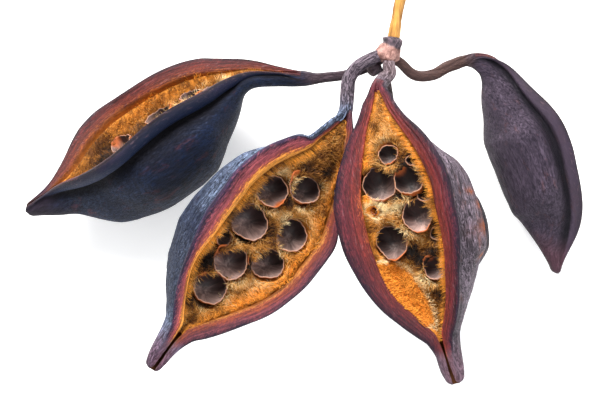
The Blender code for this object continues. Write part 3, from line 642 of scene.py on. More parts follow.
def add_shell(pod):
    """One follicle: its stalk, its boat of wood with rolled lips, and its split beak."""
    course = Course(pod)
    steps = STEPS + STEPS[::-1]
    stalk = np.arange(0, course.mouth - HOOD, STALK_STEP)
    hood = np.linspace(course.mouth - HOOD, course.mouth, HOOD_RINGS, endpoint=False)
    stalk = np.concatenate([stalk, hood])
    shares = np.linspace(0, 1, int(course.rest / pod.step))
    flat = np.concatenate([stalk_rings(stalk / course.mouth, course.mouth - stalk, pod),
                           pod_rings(shares, pod)])
    lengths = np.concatenate([stalk, course.length(shares)])
    shares = np.concatenate([(stalk - course.mouth) / course.rest, shares])
    flat = smooth_loops(flat, steps)
    band = around(np.array(BANDS), steps)
    flat[..., 0] += mouth_shift(pod, shares)[:, None] * (eased(band, 0, 1) - eased(band, 1.1, 1.6))
    to_tip = np.clip((course.spine.lengths[-1] - lengths) / TIP_ROUNDING, 0, 1)
    shrink = np.sqrt(np.clip(1 - (1 - to_tip) ** 2, 0.02, 1))[:, None, None]
    lobe = 0.5 * np.sign(np.round(flat[..., 0], 2)) * flat[..., 0].max(1, keepdims=True)
    middle = np.stack([lobe, np.broadcast_to(flat[..., 1].mean(1)[:, None], lobe.shape)], -1)
    flat = middle + (flat - middle) * shrink
    points = course.set_in(lengths, flat)
    free = (eased(shares, *BENT[0]) * (1 - eased(shares, *BENT[1])))[1:-1, None, None]
    for _ in range(SMOOTHING.get(pod.name, 0)):
        points[1:-1] += 0.5 * free * (0.5 * (points[:-2] + points[2:]) - points[1:-1])
    relief = shell_relief(pod.name, flat, lengths, band, shares)
    points = points + relief[..., None] * grid_normals(points)
    points[..., 2] = np.clip(points[..., 2], 0, cad_box[1][2] / MM - UNDER_TOP)
    rows, columns = points.shape[:2]
    quads, ends = tube_faces(rows, columns)
    fibre = with_ends(with_lengths(flat, lengths))
    bands = np.concatenate([np.broadcast_to(band, (rows, columns)).ravel(), [-1, -0.1]])
    share = np.concatenate([np.repeat(shares, columns), [shares[0], 1]])
    # The stalk has no lips, and the lips start plain at the mouth's top corner.
    bands = np.where(share < 0, -0.5, bands)
    bands = bands - np.maximum(bands - 0.35, 0) * (1 - eased(share, 0.035, 0.07))
    stem = 1 - eased(share + 0.02 * ripple(fibre * 0.6), *STEM_END)
    beak = eased(share, *BEAK_START)
    side = np.concatenate([np.broadcast_to(np.sign(flat[..., 0]), (rows, columns)).ravel(), [0, 0]])
    rust = 0 * share
    gild = 1 + 0 * share
    dusk = 0 * share
    if pod.name == "front_left":
        # Its left lip alone is gilded, from near its top to near its beak, and elsewhere its lips are
        # darkened as painted shade. Its left lip has skin up to its top, and its flank is darkened low
        # down as painted shade.
        gild = (side < 0) * eased(share, 0.08, 0.2) * (1 - eased(share, 0.82, 0.95))
        high = (side < 0) * (1 - eased(share, 0.1, 0.24))
        bands = bands - 0.75 * high * (1 - eased(bands, 0.4, 0.9))
        dusk = 0.8 * eased(share, 0.42, 0.56) * (1 - eased(share, 0.8, 0.9))
    elif pod.name == "front_right":
        # Its left lip is less golden low down, and darkened there as painted shade.
        gild = 1 - 0.75 * (side < 0) * eased(share, 0.4, 0.75)
    for at, across, size in RUST.get(pod.name, ()):
        far = np.hypot((share - at) * course.rest, 12 * (bands - across)) / size
        rust = np.maximum(rust, np.exp(-far ** 2) * (side > 0))
    shell = add_piece("follicle_" + pod.name + "_wood", with_ends(points), quads + ends,
                      shell_material(pod.name),
                      {"band": bands, "stem": stem, "beak": beak, "rust": rust, "gild": gild,
                       "dusk": dusk},
                      {"fibre": fibre})
    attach(shell, "root")
    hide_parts("follicle_" + pod.name)


for pod in PODS.values():
    add_shell(pod)

# The felt of hairs that lines each pod.
# It is a thick soft mat on the inner wall, from under one lip's edge to under the other's. It is
# pressed into mounds and pits by the seed cups that sit in it.
FELT_SHARES = (0.035, 0.86)
FELT_CLEARANCE = 0.25  # from the wood
FELT_STEP = {"front": 0.28, "side": 0.45}  # between points of its mesh
FELT_ACROSS = {"front": 90, "side": 56}
FELT_BUMP = 0.2 * MM

# How far out on the left and on the right the felt's floor turns up to the lips, of the way out.
TURN_UP = {"front_left": (0.84, 0.5), "front_right": (0.76, 0.8)}
EVEN_TURN_UP = (0.72, 0.72)

# A seed cup: its share along the pod, how far it is to the right of the middle, its radius, which
# way it leans, its torn flange as (degrees round the rim from the right, height) or None, and how
# pale it is inside. Past 1 it is the orange scar of a seed.
Cup = namedtuple("Cup", "share aside radius lean flange tone")
CUPS = {
    "front_left": (
        Cup(0.352, -3.8, 2.9, (-0.2, 0.3), (-30, 1.1), 0.45),
        Cup(0.284, 1.2, 2.7, (-0.1, 0.35), (178, 3.0), 0.5),
        Cup(0.468, -3.4, 3.45, (-0.2, 0.22), None, 0.75),
        Cup(0.42, 5.2, 3.0, (-0.3, 0.3), None, 0.5),
        Cup(0.532, 5.0, 2.95, (-0.25, 0.35), (190, 1.6), 0.6),
        Cup(0.604, -0.4, 3.05, (-0.1, 0.35), (170, 1.9), 0.8),
        Cup(0.704, 0.4, 3.1, (0.0, 0.4), (150, 0.7), 0.5),
        Cup(0.556, -5.6, 1.8, (0.4, 0.1), None, 0.0)),
    "front_right": (
        Cup(0.256, -0.2, 1.85, (0.1, -0.1), (-90, 0.7), 0.15),
        Cup(0.336, -3.8, 3.2, (0.3, 0.2), None, 0.4),
        Cup(0.356, 2.0, 2.7, (0.1, 0.3), (120, 0.6), 0.2),
        Cup(0.404, 4.6, 1.6, (0.0, 0.2), None, 0.1),
        Cup(0.464, 2.2, 3.0, (0.15, 0.3), (-80, 0.9), 0.7),
        Cup(0.528, -4.0, 3.0, (0.1, 0.35), (-75, 1.6), 0.3),
        Cup(0.648, 3.0, 2.2, (0.0, 0.3), (110, 0.9), 0.8),
        Cup(0.42, -5.9, 0.75, (0.4, 0.2), None, 1.1),
        Cup(0.296, 3.8, 1.15, (0.0, 0.0), None, 0.0),
        Cup(0.536, 4.9, 1.35, (0.0, 0.0), None, 0.0)),
}
TWO_ROWS = (
    (0.29, 0.3, 2.1, (0.0, 0.3), None), (0.36, -3.2, 2.5, (0.1, 0.2), (30, 1.2)),
    (0.41, 3.4, 2.7, (-0.2, 0.2), None), (0.49, -3.6, 2.75, (0.1, 0.1), (90, 1.0)),
    (0.55, 3.4, 2.8, (0.0, 0.3), None), (0.63, -3.0, 2.5, (-0.2, 0.0), (200, 1.0)),
    (0.68, 2.7, 2.3, (0.1, 0.1), None))
NARROW_ROWS = (
    (0.3, -1.8, 2.1, (0.1, 0.0), None), (0.41, 2.1, 2.4, (0.0, 0.1), None),
    (0.51, -2.3, 2.4, (0.1, 0.0), None), (0.62, 1.9, 2.3, (0.0, 0.1), None),
    (0.7, -1.3, 2.0, (0.0, 0.0), None))
for name, rows in (("left", TWO_ROWS), ("right", NARROW_ROWS), ("back", NARROW_ROWS)):
    CUPS[name] = tuple(Cup(*row, 0.45) for row in rows)
CUP_STAND = 0.75  # of a cup's rim over the felt

# Lumps of the felt, as (share, mm to the right of the middle, size in mm, height in mm).
LUMPS = {"front_right": ((0.42, -5.7, 1.3, 1.0),), "front_left": ((0.5, 0.9, 1.3, 0.5),)}

# Patches of the felt that are darker or lighter, as (share, mm to the right, size in mm, change). The
# darker ones are painted shade.
TONE_AND_SHADE_PATCHES = {
    "front_left": ((0.19, 0.3, 2.6, -0.25), (0.24, -3.6, 2.0, -0.4), (0.5, -7.6, 2.4, -0.7),
                   (0.35, 0.1, 1.2, -0.7), (0.45, 0.8, 1.3, -0.5), (0.47, 2.2, 1.2, -0.6),
                   (0.57, 2.2, 1.3, -0.6), (0.65, -3.6, 1.6, -0.7), (0.53, -1.4, 1.1, -0.6),
                   (0.37, 7.6, 2.6, 0.3), (0.6, 6.3, 2.8, 0.35), (0.77, -2.2, 1.8, -0.4),
                   (0.3, -5.8, 1.6, 0.35), (0.63, -5.2, 2.0, -0.4), (0.38, 0.6, 2.2, 0.3),
                   (0.7, 5.2, 2.0, 0.3)),
    "front_right": ((0.17, 0.2, 2.4, 0.1), (0.22, -0.6, 2.0, 0.2), (0.6, 0.9, 2.0, -0.55),
                    (0.75, 3.2, 2.2, -0.35), (0.5, -0.7, 1.8, 0.35), (0.42, -5.6, 1.9, 1.3),
                    (0.3, -4.4, 1.4, -0.4), (0.43, -1.2, 1.6, 0.3),
                    (0.3, 2.6, 1.5, -0.6), (0.41, 3.9, 1.3, -0.6), (0.56, -1.0, 1.6, -0.7),
                    (0.59, 4.0, 1.5, -0.6), (0.39, -0.6, 0.9, -0.6), (0.5, 5.2, 1.2, -0.6),
                    (0.62, 1.4, 1.4, -0.7), (0.58, -4.2, 1.6, 0.5),
                    (0.64, -0.2, 1.4, 0.45)),
    "left": ((0.35, 0.0, 4.0, 0.3), (0.46, 3.0, 3.0, 0.35), (0.56, 0.0, 4.0, -0.5),
             (0.7, 3.0, 6.0, -0.55), (0.7, -5.0, 5.0, -0.45)),
}

# The furry pad along the front right pod's lower left wall: its edge, as (share, mm to the right).
PAD_EDGE = ((0.56, -6.5), (0.58, -4.4), (0.61, -3.0), (0.64, -1.7), (0.68, -0.8), (0.75, -0.4),
            (0.8, -0.3))
PAD_HEIGHT = 1.3
PAD_ENDS = ((0.56, 0.585), (0.79, 0.83))  # shares over which it starts and ends
UNDER_LIP, BED, FLOOR = 14, 15, 16  # points of a half section that the felt lies on


def pad_share(pod, share, x):
    """How much of the furry pad is at places in a pod, 0 to 1."""
    if pod.name != "front_right":
        return 0 * x
    edge = np.interp(share, *np.array(PAD_EDGE).T)[:, None]
    there = eased(share, *PAD_ENDS[0]) * (1 - eased(share, *PAD_ENDS[1]))
    return there[:, None] * (1 - eased(x, edge - 0.5, edge + 0.35))


class Felt:
    """The felt's form in one pod."""

    def __init__(self, pod):
        self.pod = pod
        self.course = Course(pod)
        self.cups = CUPS[pod.name]
        self.turn_up = TURN_UP.get(pod.name, EVEN_TURN_UP)

    def walls(self, share):
        """Where the felt ends under the lips, where its floor meets the wall, and the wall below."""
        _, opened = half_sections(share, self.pod)
        return opened[..., UNDER_LIP, :], opened[..., BED, :], opened[..., FLOOR:, :]

    def top(self, share, x):
        """The felt's plain height, at places across at each share."""
        edge, bed, _ = self.walls(share)
        low = bed[..., 1:] + 0.06 * bed[..., :1] * (1 - (x / bed[..., :1]) ** 2)
        out = np.abs(x) / edge[..., :1]
        start = np.where(x < 0, *self.turn_up)
        rise = eased(out, start, 1.02) ** 1.3
        return low + (edge[..., 1:] - low) * rise

    def form(self, share, x):
        """The felt's height with its mounds, and its pits under the cups."""
        length = np.broadcast_to(self.course.length(share)[:, None], x.shape)
        place = np.stack([x, 0 * x + 7 * len(self.pod.name), length], -1)
        edge, _, walls = self.walls(share)
        inward = eased(1 - np.abs(x) / edge[..., :1], 0, 0.12)
        z = self.top(share, x) + inward * (0.5 * ripple(place * 0.42) + 0.16 * ripple(place * 1.3))
        lumpy = 0.85 + 0.2 * ripple(place * 0.8) + 0.14 * ripple(place * 1.9)
        z = z + PAD_HEIGHT * pad_share(self.pod, share, x) * lumpy
        for at, aside, size, height in LUMPS.get(self.pod.name, ()):
            far = np.hypot(length - self.course.length(at), x - aside) / size
            z = z + height * np.exp(-far ** 2)
        for cup in self.cups:
            far = np.hypot(length - self.course.length(cup.share), x - cup.aside) / cup.radius
            z = z + inward * 0.5 * np.exp(-((far - 1.3) / 0.25) ** 2)
            z = z - (1.25 * cup.radius + 0.4) * eased(1.16 - far, 0, 0.3)
        return np.maximum(z, walls[..., -1, 1:] + 0.5)

    def patch(self, share, x):
        """How much lighter the felt is at places than elsewhere in the pod, darker in patches of painted
        shade, and how orange.
        """
        length = self.course.length(share)[:, None]
        paler = 0 * x
        for at, aside, size, change in TONE_AND_SHADE_PATCHES.get(self.pod.name, ()):
            far = np.hypot(length - self.course.length(at), x - aside) / size
            paler = paler + change * np.exp(-far ** 2)
        pad = pad_share(self.pod, share, x)
        return paler + 3.4 * pad * (1 - pad), pad ** 3

    def set_in(self, share, flat):
        """Flat points of each share, moved with the mouth to its side, in the bunch's frame."""
        aside = np.stack([mouth_shift(self.pod, share), 0 * share], -1)[:, None]
        return self.course.set_in(self.course.length(share), flat + aside)


def felt_material():
    """Matted hairs: umber in the middle and golden by the lips, with the pad orange, and darker in
    patches of painted shade.
    """
    material, tree, shader = new_material("golden_felt")
    fibre = stored_place(tree)
    rim, paler, orange = stored(tree, "nearness", "paler", "orange")
    mottle = sum_of(tree, cloudy(tree, fibre, 0.7, 6, 0.65, 0.5), times(tree, paler, 0.35))
    colour = blended(tree, stepped(tree, mottle, 0.35, 0.68), seen(34, 21, 12), seen(158, 104, 46))
    golden = blended(tree, stepped(tree, mottle, 0.3, 0.7), seen(112, 66, 22), seen(228, 146, 54))
    by_lip = stepped(tree, sum_of(tree, rim, times(tree, paler, 0.4)), 0.4, 1.0)
    colour = blended(tree, by_lip, colour, golden)
    furry = blended(tree, mottle, seen(150, 78, 16), seen(214, 128, 34))
    colour = blended(tree, orange, colour, furry)
    rough = cloudy(tree, fibre, 5.0, 4, 0.7)
    bump = node(tree, "Bump", {"Height": rough, "Distance": FELT_BUMP})
    feed(tree, shader, {"Base Color": colour, "Roughness": stepped(tree, rough, 0.2, 0.8, 0.8, 1.0),
                        "Normal": bump.outputs[0]})
    return material


golden_felt = felt_material()


def add_felt(pod):
    """The mat itself, as a closed body between the pod's wall and its own soft top."""
    felt = Felt(pod)
    kind = "front" if pod.name.startswith("front") else "side"
    count = int(felt.course.rest * (FELT_SHARES[1] - FELT_SHARES[0]) / FELT_STEP[kind])
    share = np.linspace(*FELT_SHARES, count)
    edge, bed, walls = felt.walls(share)
    across = np.linspace(1, -1, FELT_ACROSS[kind])
    x = across * edge[:, :1]
    top = np.stack([x, felt.form(share, x)], -1)
    under = np.concatenate([walls[:, ::-1], bed[:, None]], 1)
    middle = np.stack([0 * share, bed[:, 1]], -1)[:, None]
    away = np.linalg.norm(under - middle, axis=-1, keepdims=True)
    under = middle + (under - middle) * np.maximum(1 - FELT_CLEARANCE / np.maximum(away, 0.3), 0.3)
    flat = np.concatenate([under, top, (under * (-1, 1))[:, :0:-1]], 1)
    points = felt.set_in(share, flat)
    quads, ends = tube_faces(*points.shape[:2])
    paler, orange = felt.patch(share, flat[..., 0])
    below = np.zeros(under.shape[1])
    nearness = np.tile(np.concatenate([below, np.abs(across), below[1:]]), len(share))
    mat = add_piece("felt_" + pod.name, with_ends(points), quads + ends, golden_felt,
                    {"nearness": np.append(nearness, [1, 1]),
                     "paler": np.append(paler.ravel(), [0, 0]),
                     "orange": np.append(orange.ravel(), [0, 0])},
                    {"fibre": with_ends(with_lengths(flat, felt.course.length(share)))})
    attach(mat, "root")
    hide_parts("seed_bed_" + pod.name)


for pod in PODS.values():
    add_felt(pod)

# The seed cups.
# Each seed sat in a papery case of its own. When the pod split, the seeds fell and left these
# thin pleated bowls with torn rims, open a little downwards as the pod hung.
CUP_WALL = 0.2
CUP_ROUND = 64  # points round it
CUP_LEVELS = 14  # from its rim to its bottom
CUP_DEEP = 1.05  # of its radius
CUP_BUMP = 0.08 * MM
FIRST_DRAW = 40  # the number that the first cup's draw starts from


def cup_mesh(cup, seed, centre, right, run, up):
    """Points of one cup in mm, its point values and the places of its streaks."""
    draw = np.random.default_rng(seed)
    angle = np.linspace(0, 2 * np.pi, CUP_ROUND, endpoint=False)
    circle = np.stack([np.cos(angle), np.sin(angle), 0 * angle], -1)
    a, b, c = draw.uniform(0, 2 * np.pi, 3)
    pleats = draw.integers(13, 19)
    outline = 1 + (0.05 * np.cos(2 * angle + a) + 0.035 * np.cos(3 * angle + b)
                   + 0.02 * np.cos(5 * angle + c))
    torn = ripple(1.6 * circle + (0, 0, seed))
    nicks = ripple(5 * circle + (0, 0, seed + 5))
    rim = CUP_STAND + 0.45 * torn + 0.28 * nicks
    flange = np.zeros(CUP_ROUND)
    opened = 0.22 * cup.flange[1] if cup.flange else 0.1
    if cup.flange:
        off = np.angle(np.exp(1j * (angle - np.radians(cup.flange[0]))))
        flange = np.exp(-(off / 0.6) ** 2)
        rim = rim + cup.flange[1] * flange
    if cup.tone > 1:
        flange[:] = 1
    depth = CUP_DEEP * cup.radius
    axis = unit(up + np.array([*cup.lean, 0]))
    side = unit(right - (right @ axis) * axis)
    other = np.cross(axis, side)
    sheets = []
    for inset in (0.0, CUP_WALL):
        levels = []
        for level in np.linspace(0, 1, CUP_LEVELS)[:-1]:
            fall = level ** 1.15
            h = rim * (1 - fall) - (depth - inset) * fall
            swell = np.sqrt(1 - fall ** 2.6)
            pleat = 1 + 0.022 * (1 - 0.5 * fall) * np.cos(pleats * angle + 2 * np.sin(3 * angle))
            flare = 1 + opened * flange * (1 - fall) ** 2
            r = (cup.radius * outline * pleat * flare - inset) * swell
            levels.append(centre + h[:, None] * axis + (r * np.cos(angle))[:, None] * side
                          + (r * np.sin(angle))[:, None] * other)
        sheets.append(np.array(levels))
    outer, inner = sheets
    rings = np.concatenate([outer[::-1], inner])
    bottoms = np.array([centre - depth * axis, centre - (depth - CUP_WALL) * axis])
    points = np.concatenate([rings.reshape(-1, 3), bottoms])
    level = np.linspace(0, 1, CUP_LEVELS)[:-1]
    deep = np.repeat(np.concatenate([level[::-1], level]), CUP_ROUND)
    within = np.repeat([0.0, 1.0], (CUP_LEVELS - 1) * CUP_ROUND)
    values = {
        "deep": np.concatenate([deep, [1, 1]]),
        "within": np.concatenate([within, [0, 1]]),
        "flange": np.concatenate([np.tile(flange, len(rings)) * (1 - deep), [0, 0]]),
        "tone": np.full(len(points), cup.tone),
    }
    away = points - centre
    away = away - (away @ axis)[:, None] * axis
    # How far each point of the cup is towards the beak, for the painted light and shade inside it.
    values["lower"] = np.clip(0.5 + 0.5 * (away @ unit(run + 0.35 * right)) / cup.radius, 0, 1)
    streak = np.tile(circle, (len(rings), 1))
    streak[:, 2] = 0.35 * deep + seed
    return points, values, np.concatenate([streak, [(0, 0, seed), (0, 0, seed)]])


def cup_material():
    """Thin brown paper: streaked from the bottom to the rim, pale on the rim, orange where torn, and
    inside lighter towards the beak and darker towards the stalk as painted light and shade.
    """
    material, tree, shader = new_material("cup_paper")
    deep, within, flange, tone, lower = stored(tree, "deep", "within", "flange", "tone", "lower")
    streak = stored_place(tree, "streak")
    rays = cloudy(tree, streak, 3.6, 5, 0.6, 0.3)
    blotch = cloudy(tree, streak, 1.1, 4, 0.6, 0.5)
    # Inside lighter towards the beak and darker towards the stalk, with blotches of tone: painted light
    # and shade.
    blotch_and_painted_light = sum_of(tree, lower, sum_of(tree, times(tree, blotch, 0.9), 0.45, "SUBTRACT"))
    inside = blended(tree, stepped(tree, blotch_and_painted_light, 0.24, 0.98), seen(24, 16, 16), seen(212, 178, 168))
    inside = blended(tree, stepped(tree, rays, 0.3, 0.75, 0.6, 0.0), inside, seen(70, 48, 50))
    inside = shaded(tree, inside, stepped(tree, tone, 0.0, 0.8, 0.3, 1.05, "LINEAR"))
    outside = blended(tree, rays, seen(122, 58, 20), seen(196, 104, 42))
    colour = blended(tree, within, outside, inside)
    rim = stepped(tree, deep, 0.0, 0.06, 0.5, 0.0)
    colour = blended(tree, rim, colour, seen(170, 132, 108))
    colour = blended(tree, stepped(tree, flange, 0.3, 0.8), colour,
                     blended(tree, rays, seen(132, 58, 20), seen(206, 112, 52)))
    bump = node(tree, "Bump", {"Height": rays, "Distance": CUP_BUMP})
    feed(tree, shader, {"Base Color": colour, "Roughness": stepped(tree, rays, 0.3, 0.7, 0.68, 0.45),
                        "Normal": bump.outputs[0]})
    return material


cup_paper = cup_material()


def add_cups(pod):
    felt = Felt(pod)
    points, quads, ends, values, streaks = [], [], [], {}, []
    first_draw = FIRST_DRAW + 10 * len(pod.name)
    for number, cup in enumerate(felt.cups):
        share = np.array([cup.share])
        height = felt.top(share, np.array([[cup.aside]]))[0, 0]
        length = felt.course.length(share)
        _, run, right, up = (part[0] for part in felt.course.spine.place(length, pod.face))
        centre = felt.set_in(share, np.array([[[cup.aside, height]]]))[0, 0]
        made, own_values, streak = cup_mesh(cup, first_draw + number, centre, right, run, up)
        four, three = tube_faces(2 * (CUP_LEVELS - 1), CUP_ROUND, number * len(made))
        quads += four
        ends += three
        points.append(made)
        streaks.append(streak)
        for title, numbers in own_values.items():
            values.setdefault(title, []).append(numbers)
    cups = add_piece("seed_cups_" + pod.name, np.concatenate(points), quads + ends, cup_paper,
                     {title: np.concatenate(numbers) for title, numbers in values.items()},
                     {"streak": np.concatenate(streaks)})
    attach(cups, "root")
    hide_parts("seed_bed_" + pod.name)


for pod in PODS.values():
    add_cups(pod)

# The hairs of the felt.
# Stiff golden hairs stand all over the felt, longest in tufts between the cups and in a fringe
# under the lips. They are what itches on the real fruit.
HAIRS = {"front_left": 25000, "front_right": 25000, "left": 9000, "right": 4000, "back": 4000}
HAIR_LENGTH = 1.45
HAIR_WIDTH = 0.095
HAIR_POINTS = 7  # two rings of three and a tip
BEND_AT = 0.55  # of its length
PAD_HAIR = 0.5  # length of the pad's hairs, of the others'
BARE_RIM = 0.3  # round each cup


def hair_mesh(roots, ways, lengths, widths, bend):
    """Three-sided tapered hairs with one bend, as points, faces and how far out each point is."""
    ways = unit(ways)
    side = unit(np.cross(ways, (0.31, 0.52, 0.79)))
    other = np.cross(ways, side)
    elbow = roots + ways * (BEND_AT * lengths)[:, None]
    tip = elbow + unit(ways + bend) * ((1 - BEND_AT) * lengths)[:, None]
    rings = []
    for middle, thick in ((roots, 1.0), (elbow, 0.62)):
        for turn in np.radians((0, 120, 240)):
            away = np.cos(turn) * side + np.sin(turn) * other
            rings.append(middle + 0.5 * thick * widths[:, None] * away)
    points = np.stack([*rings, tip], 1)
    first = HAIR_POINTS * np.arange(len(roots))[:, None]
    pattern = []
    for i in range(3):
        j = (i + 1) % 3
        pattern += [(i, j, j + 3), (i, j + 3, i + 3), (i + 3, j + 3, 6)]
    faces = (first[:, None] + np.array(pattern)[None]).reshape(-1, 3)
    out = np.tile((0, 0, 0, BEND_AT, BEND_AT, BEND_AT, 1.0), len(roots))
    return points.reshape(-1, 3), faces.tolist(), out


def hair_material():
    """Golden hair: darkened towards its root and pale at its tip, as painted shade in the mat, from
    umber through orange to straw.
    """
    material, tree, shader = new_material("golden_hair")
    out, tone, orange = stored(tree, "out", "tone", "orange")
    ramp = node(tree, "ValToRGB", {"Fac": tone})
    stops = ramp.color_ramp.elements
    stops[0].position, stops[0].color = 0.0, seen(30, 20, 12)
    stops[1].position, stops[1].color = 1.0, seen(250, 228, 178)
    for at, colour in ((0.3, seen(138, 84, 32)), (0.55, seen(212, 144, 58)),
                       (0.8, seen(234, 190, 122))):
        stops.new(at).color = colour
    colour = blended(tree, orange, ramp.outputs["Color"], seen(252, 164, 54))
    # Darkest at the root and a little lighter at the tip: painted shade in the mat of hairs.
    feed(tree, shader, {"Base Color": shaded(tree, colour, stepped(tree, out, 0.0, 0.6, 0.4, 1.08)),
                        "Roughness": stepped(tree, out, 0.0, 1.0, 0.85, 0.5)})
    return material


golden_hair = hair_material()


def add_hairs(pod):
    felt = Felt(pod)
    draw = np.random.default_rng(500 + len(pod.name))
    count = HAIRS[pod.name]
    share = draw.uniform(*FELT_SHARES, 2 * count)
    edge, _, _ = felt.walls(share)
    keep = draw.uniform(0, 1, len(share)) < edge[:, 0] / edge[:, 0].max()
    share = share[keep][:count]
    edge = edge[keep][:count]
    across = draw.uniform(-1, 1, len(share))
    x = (across * edge[:, 0])[:, None]
    length = felt.course.length(share)
    paler, furry = (part[:, 0] for part in felt.patch(share, x))
    far = np.full(len(share), 9.0)
    clear = np.zeros((len(share), 2))
    for cup in felt.cups:
        off = np.stack([x[:, 0] - cup.aside, length - felt.course.length(cup.share)], -1)
        gap = np.linalg.norm(off, axis=-1) - cup.radius
        clear = np.where((gap < far)[:, None], unit(off), clear)
        far = np.minimum(far, gap)
    outside = far > BARE_RIM
    share, across, x, length, far, edge, paler, furry, clear = (
        part[outside] for part in (share, across, x, length, far, edge, paler, furry, clear))
    clear = 1.1 * clear * np.exp(-(far / 1.1) ** 2)[:, None]
    height = felt.form(share, x)
    slope = (felt.form(share, x + 0.2) - felt.form(share, x - 0.2))[:, 0] / 0.4
    place = np.stack([x[:, 0], 0 * length + 3, length], -1)
    flat = np.stack([x, height], -1)
    roots = felt.set_in(share, flat)[:, 0]
    _, run, right, up = felt.course.spine.place(length, pod.face)
    out = np.abs(across)
    inward = -np.sign(across) * eased(out, 0.55, 0.95)
    aside = -np.clip(slope, -1.2, 1.2) + 1.1 * inward + 0.55 * ripple(place * 0.5) + clear[:, 0]
    onward = 0.55 * ripple(place * 0.5 + 20) + clear[:, 1]
    ways = (up + aside[:, None] * right + onward[:, None] * run
            + draw.normal(0, 0.3, (len(share), 3)))
    tuft = np.exp(-(far / 0.7) ** 2)
    lengths = HAIR_LENGTH * (0.6 + 0.8 * draw.uniform(0, 1, len(share)) + 0.35 * tuft
                             + 0.25 * eased(out, 0.7, 1))
    room = eased(edge[:, 0], 0.8, 3.0)
    lengths = lengths * (0.45 + 0.55 * room) * (1 - (1 - PAD_HAIR) * furry)
    widths = HAIR_WIDTH * draw.uniform(0.7, 1.25, len(share))
    patch = ripple(place * (0.33, 0.33, 0.33) + 40)
    # Hairs in the felt's dark patches are darker too: painted shade.
    tone = 0.46 + 0.55 * patch + 0.28 * tuft + paler + draw.normal(0, 0.14, len(share))
    orange = eased(out + 0.25 * patch + draw.normal(0, 0.08, len(share)), 0.76, 1.04)
    orange = orange * (1 - eased(paler, 0.4, 0.8)) * (1 - 0.6 * eased(-paler, 0.05, 0.4))
    orange = np.maximum(orange, 0.9 * furry)
    tone = np.where(furry > 0.6, 0.45 + 0.25 * tone, tone)
    bend = 0.5 * draw.normal(0, 0.6, ways.shape)
    points, faces, along_hair = hair_mesh(roots, ways, lengths, widths, bend)
    hairs = add_piece("hairs_" + pod.name, points, faces, golden_hair,
                      {"out": along_hair, "tone": np.repeat(np.clip(tone, 0, 1), HAIR_POINTS),
                       "orange": np.repeat(orange, HAIR_POINTS)})
    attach(hairs, "root")


for pod in PODS.values():
    add_hairs(pod)

# The knuckle that the five stalks grow from, and the cut stalk above it.
# The flower's receptacle has turned woody: a warty pinkish knuckle under a dark collar. The stalk
# that held the bunch is thin and straw-coloured.
KNUCKLE = (((16.3, 31.2, 22.3), 1.7), ((16.2, 30.6, 22.3), 2.0), ((16.0, 29.6, 22.2), 1.85),
           ((15.5, 28.6, 22.1), 2.25), ((15.0, 27.4, 22.0), 2.35), ((14.8, 26.2, 22.0), 1.8))
# A dark lump between the stalks, where there is only shade: a painted shadow.
PAINTED_SHADOW_LUMP = (((13.9, 26.0, 20.9), 1.2), ((13.0, 25.4, 20.6), 1.35), ((12.2, 24.9, 20.4), 1.3),
               ((11.4, 24.6, 20.3), 0.9))
CUT_STALK = (((16.3, 30.4, 22.3), 1.15), ((16.4, 31.6, 22.3), 1.15), ((16.8, 34.2, 22.6), 1.0),
             ((17.3, 37.0, 23.0), 1.0), ((18.3, 40.6, 23.5), 1.05), ((19.4, 44.4, 24.0), 1.15))
STEM_ROUND = 48  # points round it
STEM_STEP = 0.16
STEM_ROUNDING = 0.8  # length over which its ends are rounded off
STEM_BUMP = 0.25 * MM
COLLAR_LENGTH = 1.9
COLLAR_EDGE = 0.25


def stem_mesh(stations, wart, grain, cut):
    """Rings and grain places of a stem through stations of (point, radius)."""
    spine = Spine([point for point, _ in stations])
    lengths = np.arange(0, spine.lengths[-1], STEM_STEP)
    centre, _, right, up = spine.place(lengths, (0, 0, 1))
    radius = np.interp(lengths, spine.lengths[::Spine.FINE], [size for _, size in stations])
    ends = np.minimum(lengths - lengths[0], np.inf if cut else lengths[-1] - lengths)
    radius = radius * np.sqrt(np.clip(1 - (1 - np.clip(ends / STEM_ROUNDING, 0, 1)) ** 2, 0.05, 1))
    angle = np.linspace(0, 2 * np.pi, STEM_ROUND, endpoint=False)
    smooth = np.stack([np.cos(angle), np.sin(angle)], -1)[None] * radius[:, None, None]
    place = with_lengths(smooth, lengths)
    rough = wart * ripple(place * 0.9 + 3) + grain * ripple(place * (2.2, 2.2, 0.35))
    flat = smooth * (1 + rough / np.maximum(radius, 0.5)[:, None])[..., None]
    points = centre[:, None] - MIDDLE + flat[..., :1] * right[:, None] + flat[..., 1:] * up[:, None]
    return points, place


def add_stem(name, stems, material, collar):
    """Stems in one piece. Each is (stations, wart, grain, whether it ends in a cut, how dark it is)."""
    points, places, darks, cuts, quads, ends, count = [], [], [], [], [], [], 0
    for stations, wart, grain, cut, dark in stems:
        rings, place = stem_mesh(stations, wart, grain, cut)
        four, three = tube_faces(*rings.shape[:2], count)
        quads += four
        ends += three
        count += rings.shape[0] * rings.shape[1] + 2
        length = place[..., 2].ravel()
        past_collar = eased(length + 0.3 * ripple(place.reshape(-1, 3)),
                            COLLAR_LENGTH - COLLAR_EDGE, COLLAR_LENGTH + COLLAR_EDGE)
        darkness = np.maximum(dark, collar * (1 - past_collar))
        points.append(with_ends(rings))
        places.append(with_ends(place))
        darks += [darkness, [dark, dark]]
        cuts += [np.zeros(len(darkness)), [0, float(cut)]]
    stem = add_piece(name + "_wood", np.concatenate(points), quads + ends, material,
                     {"dark": np.concatenate(darks), "cut": np.concatenate(cuts)},
                     {"fibre": np.concatenate(places)})
    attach(stem, "root")
    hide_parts(name)


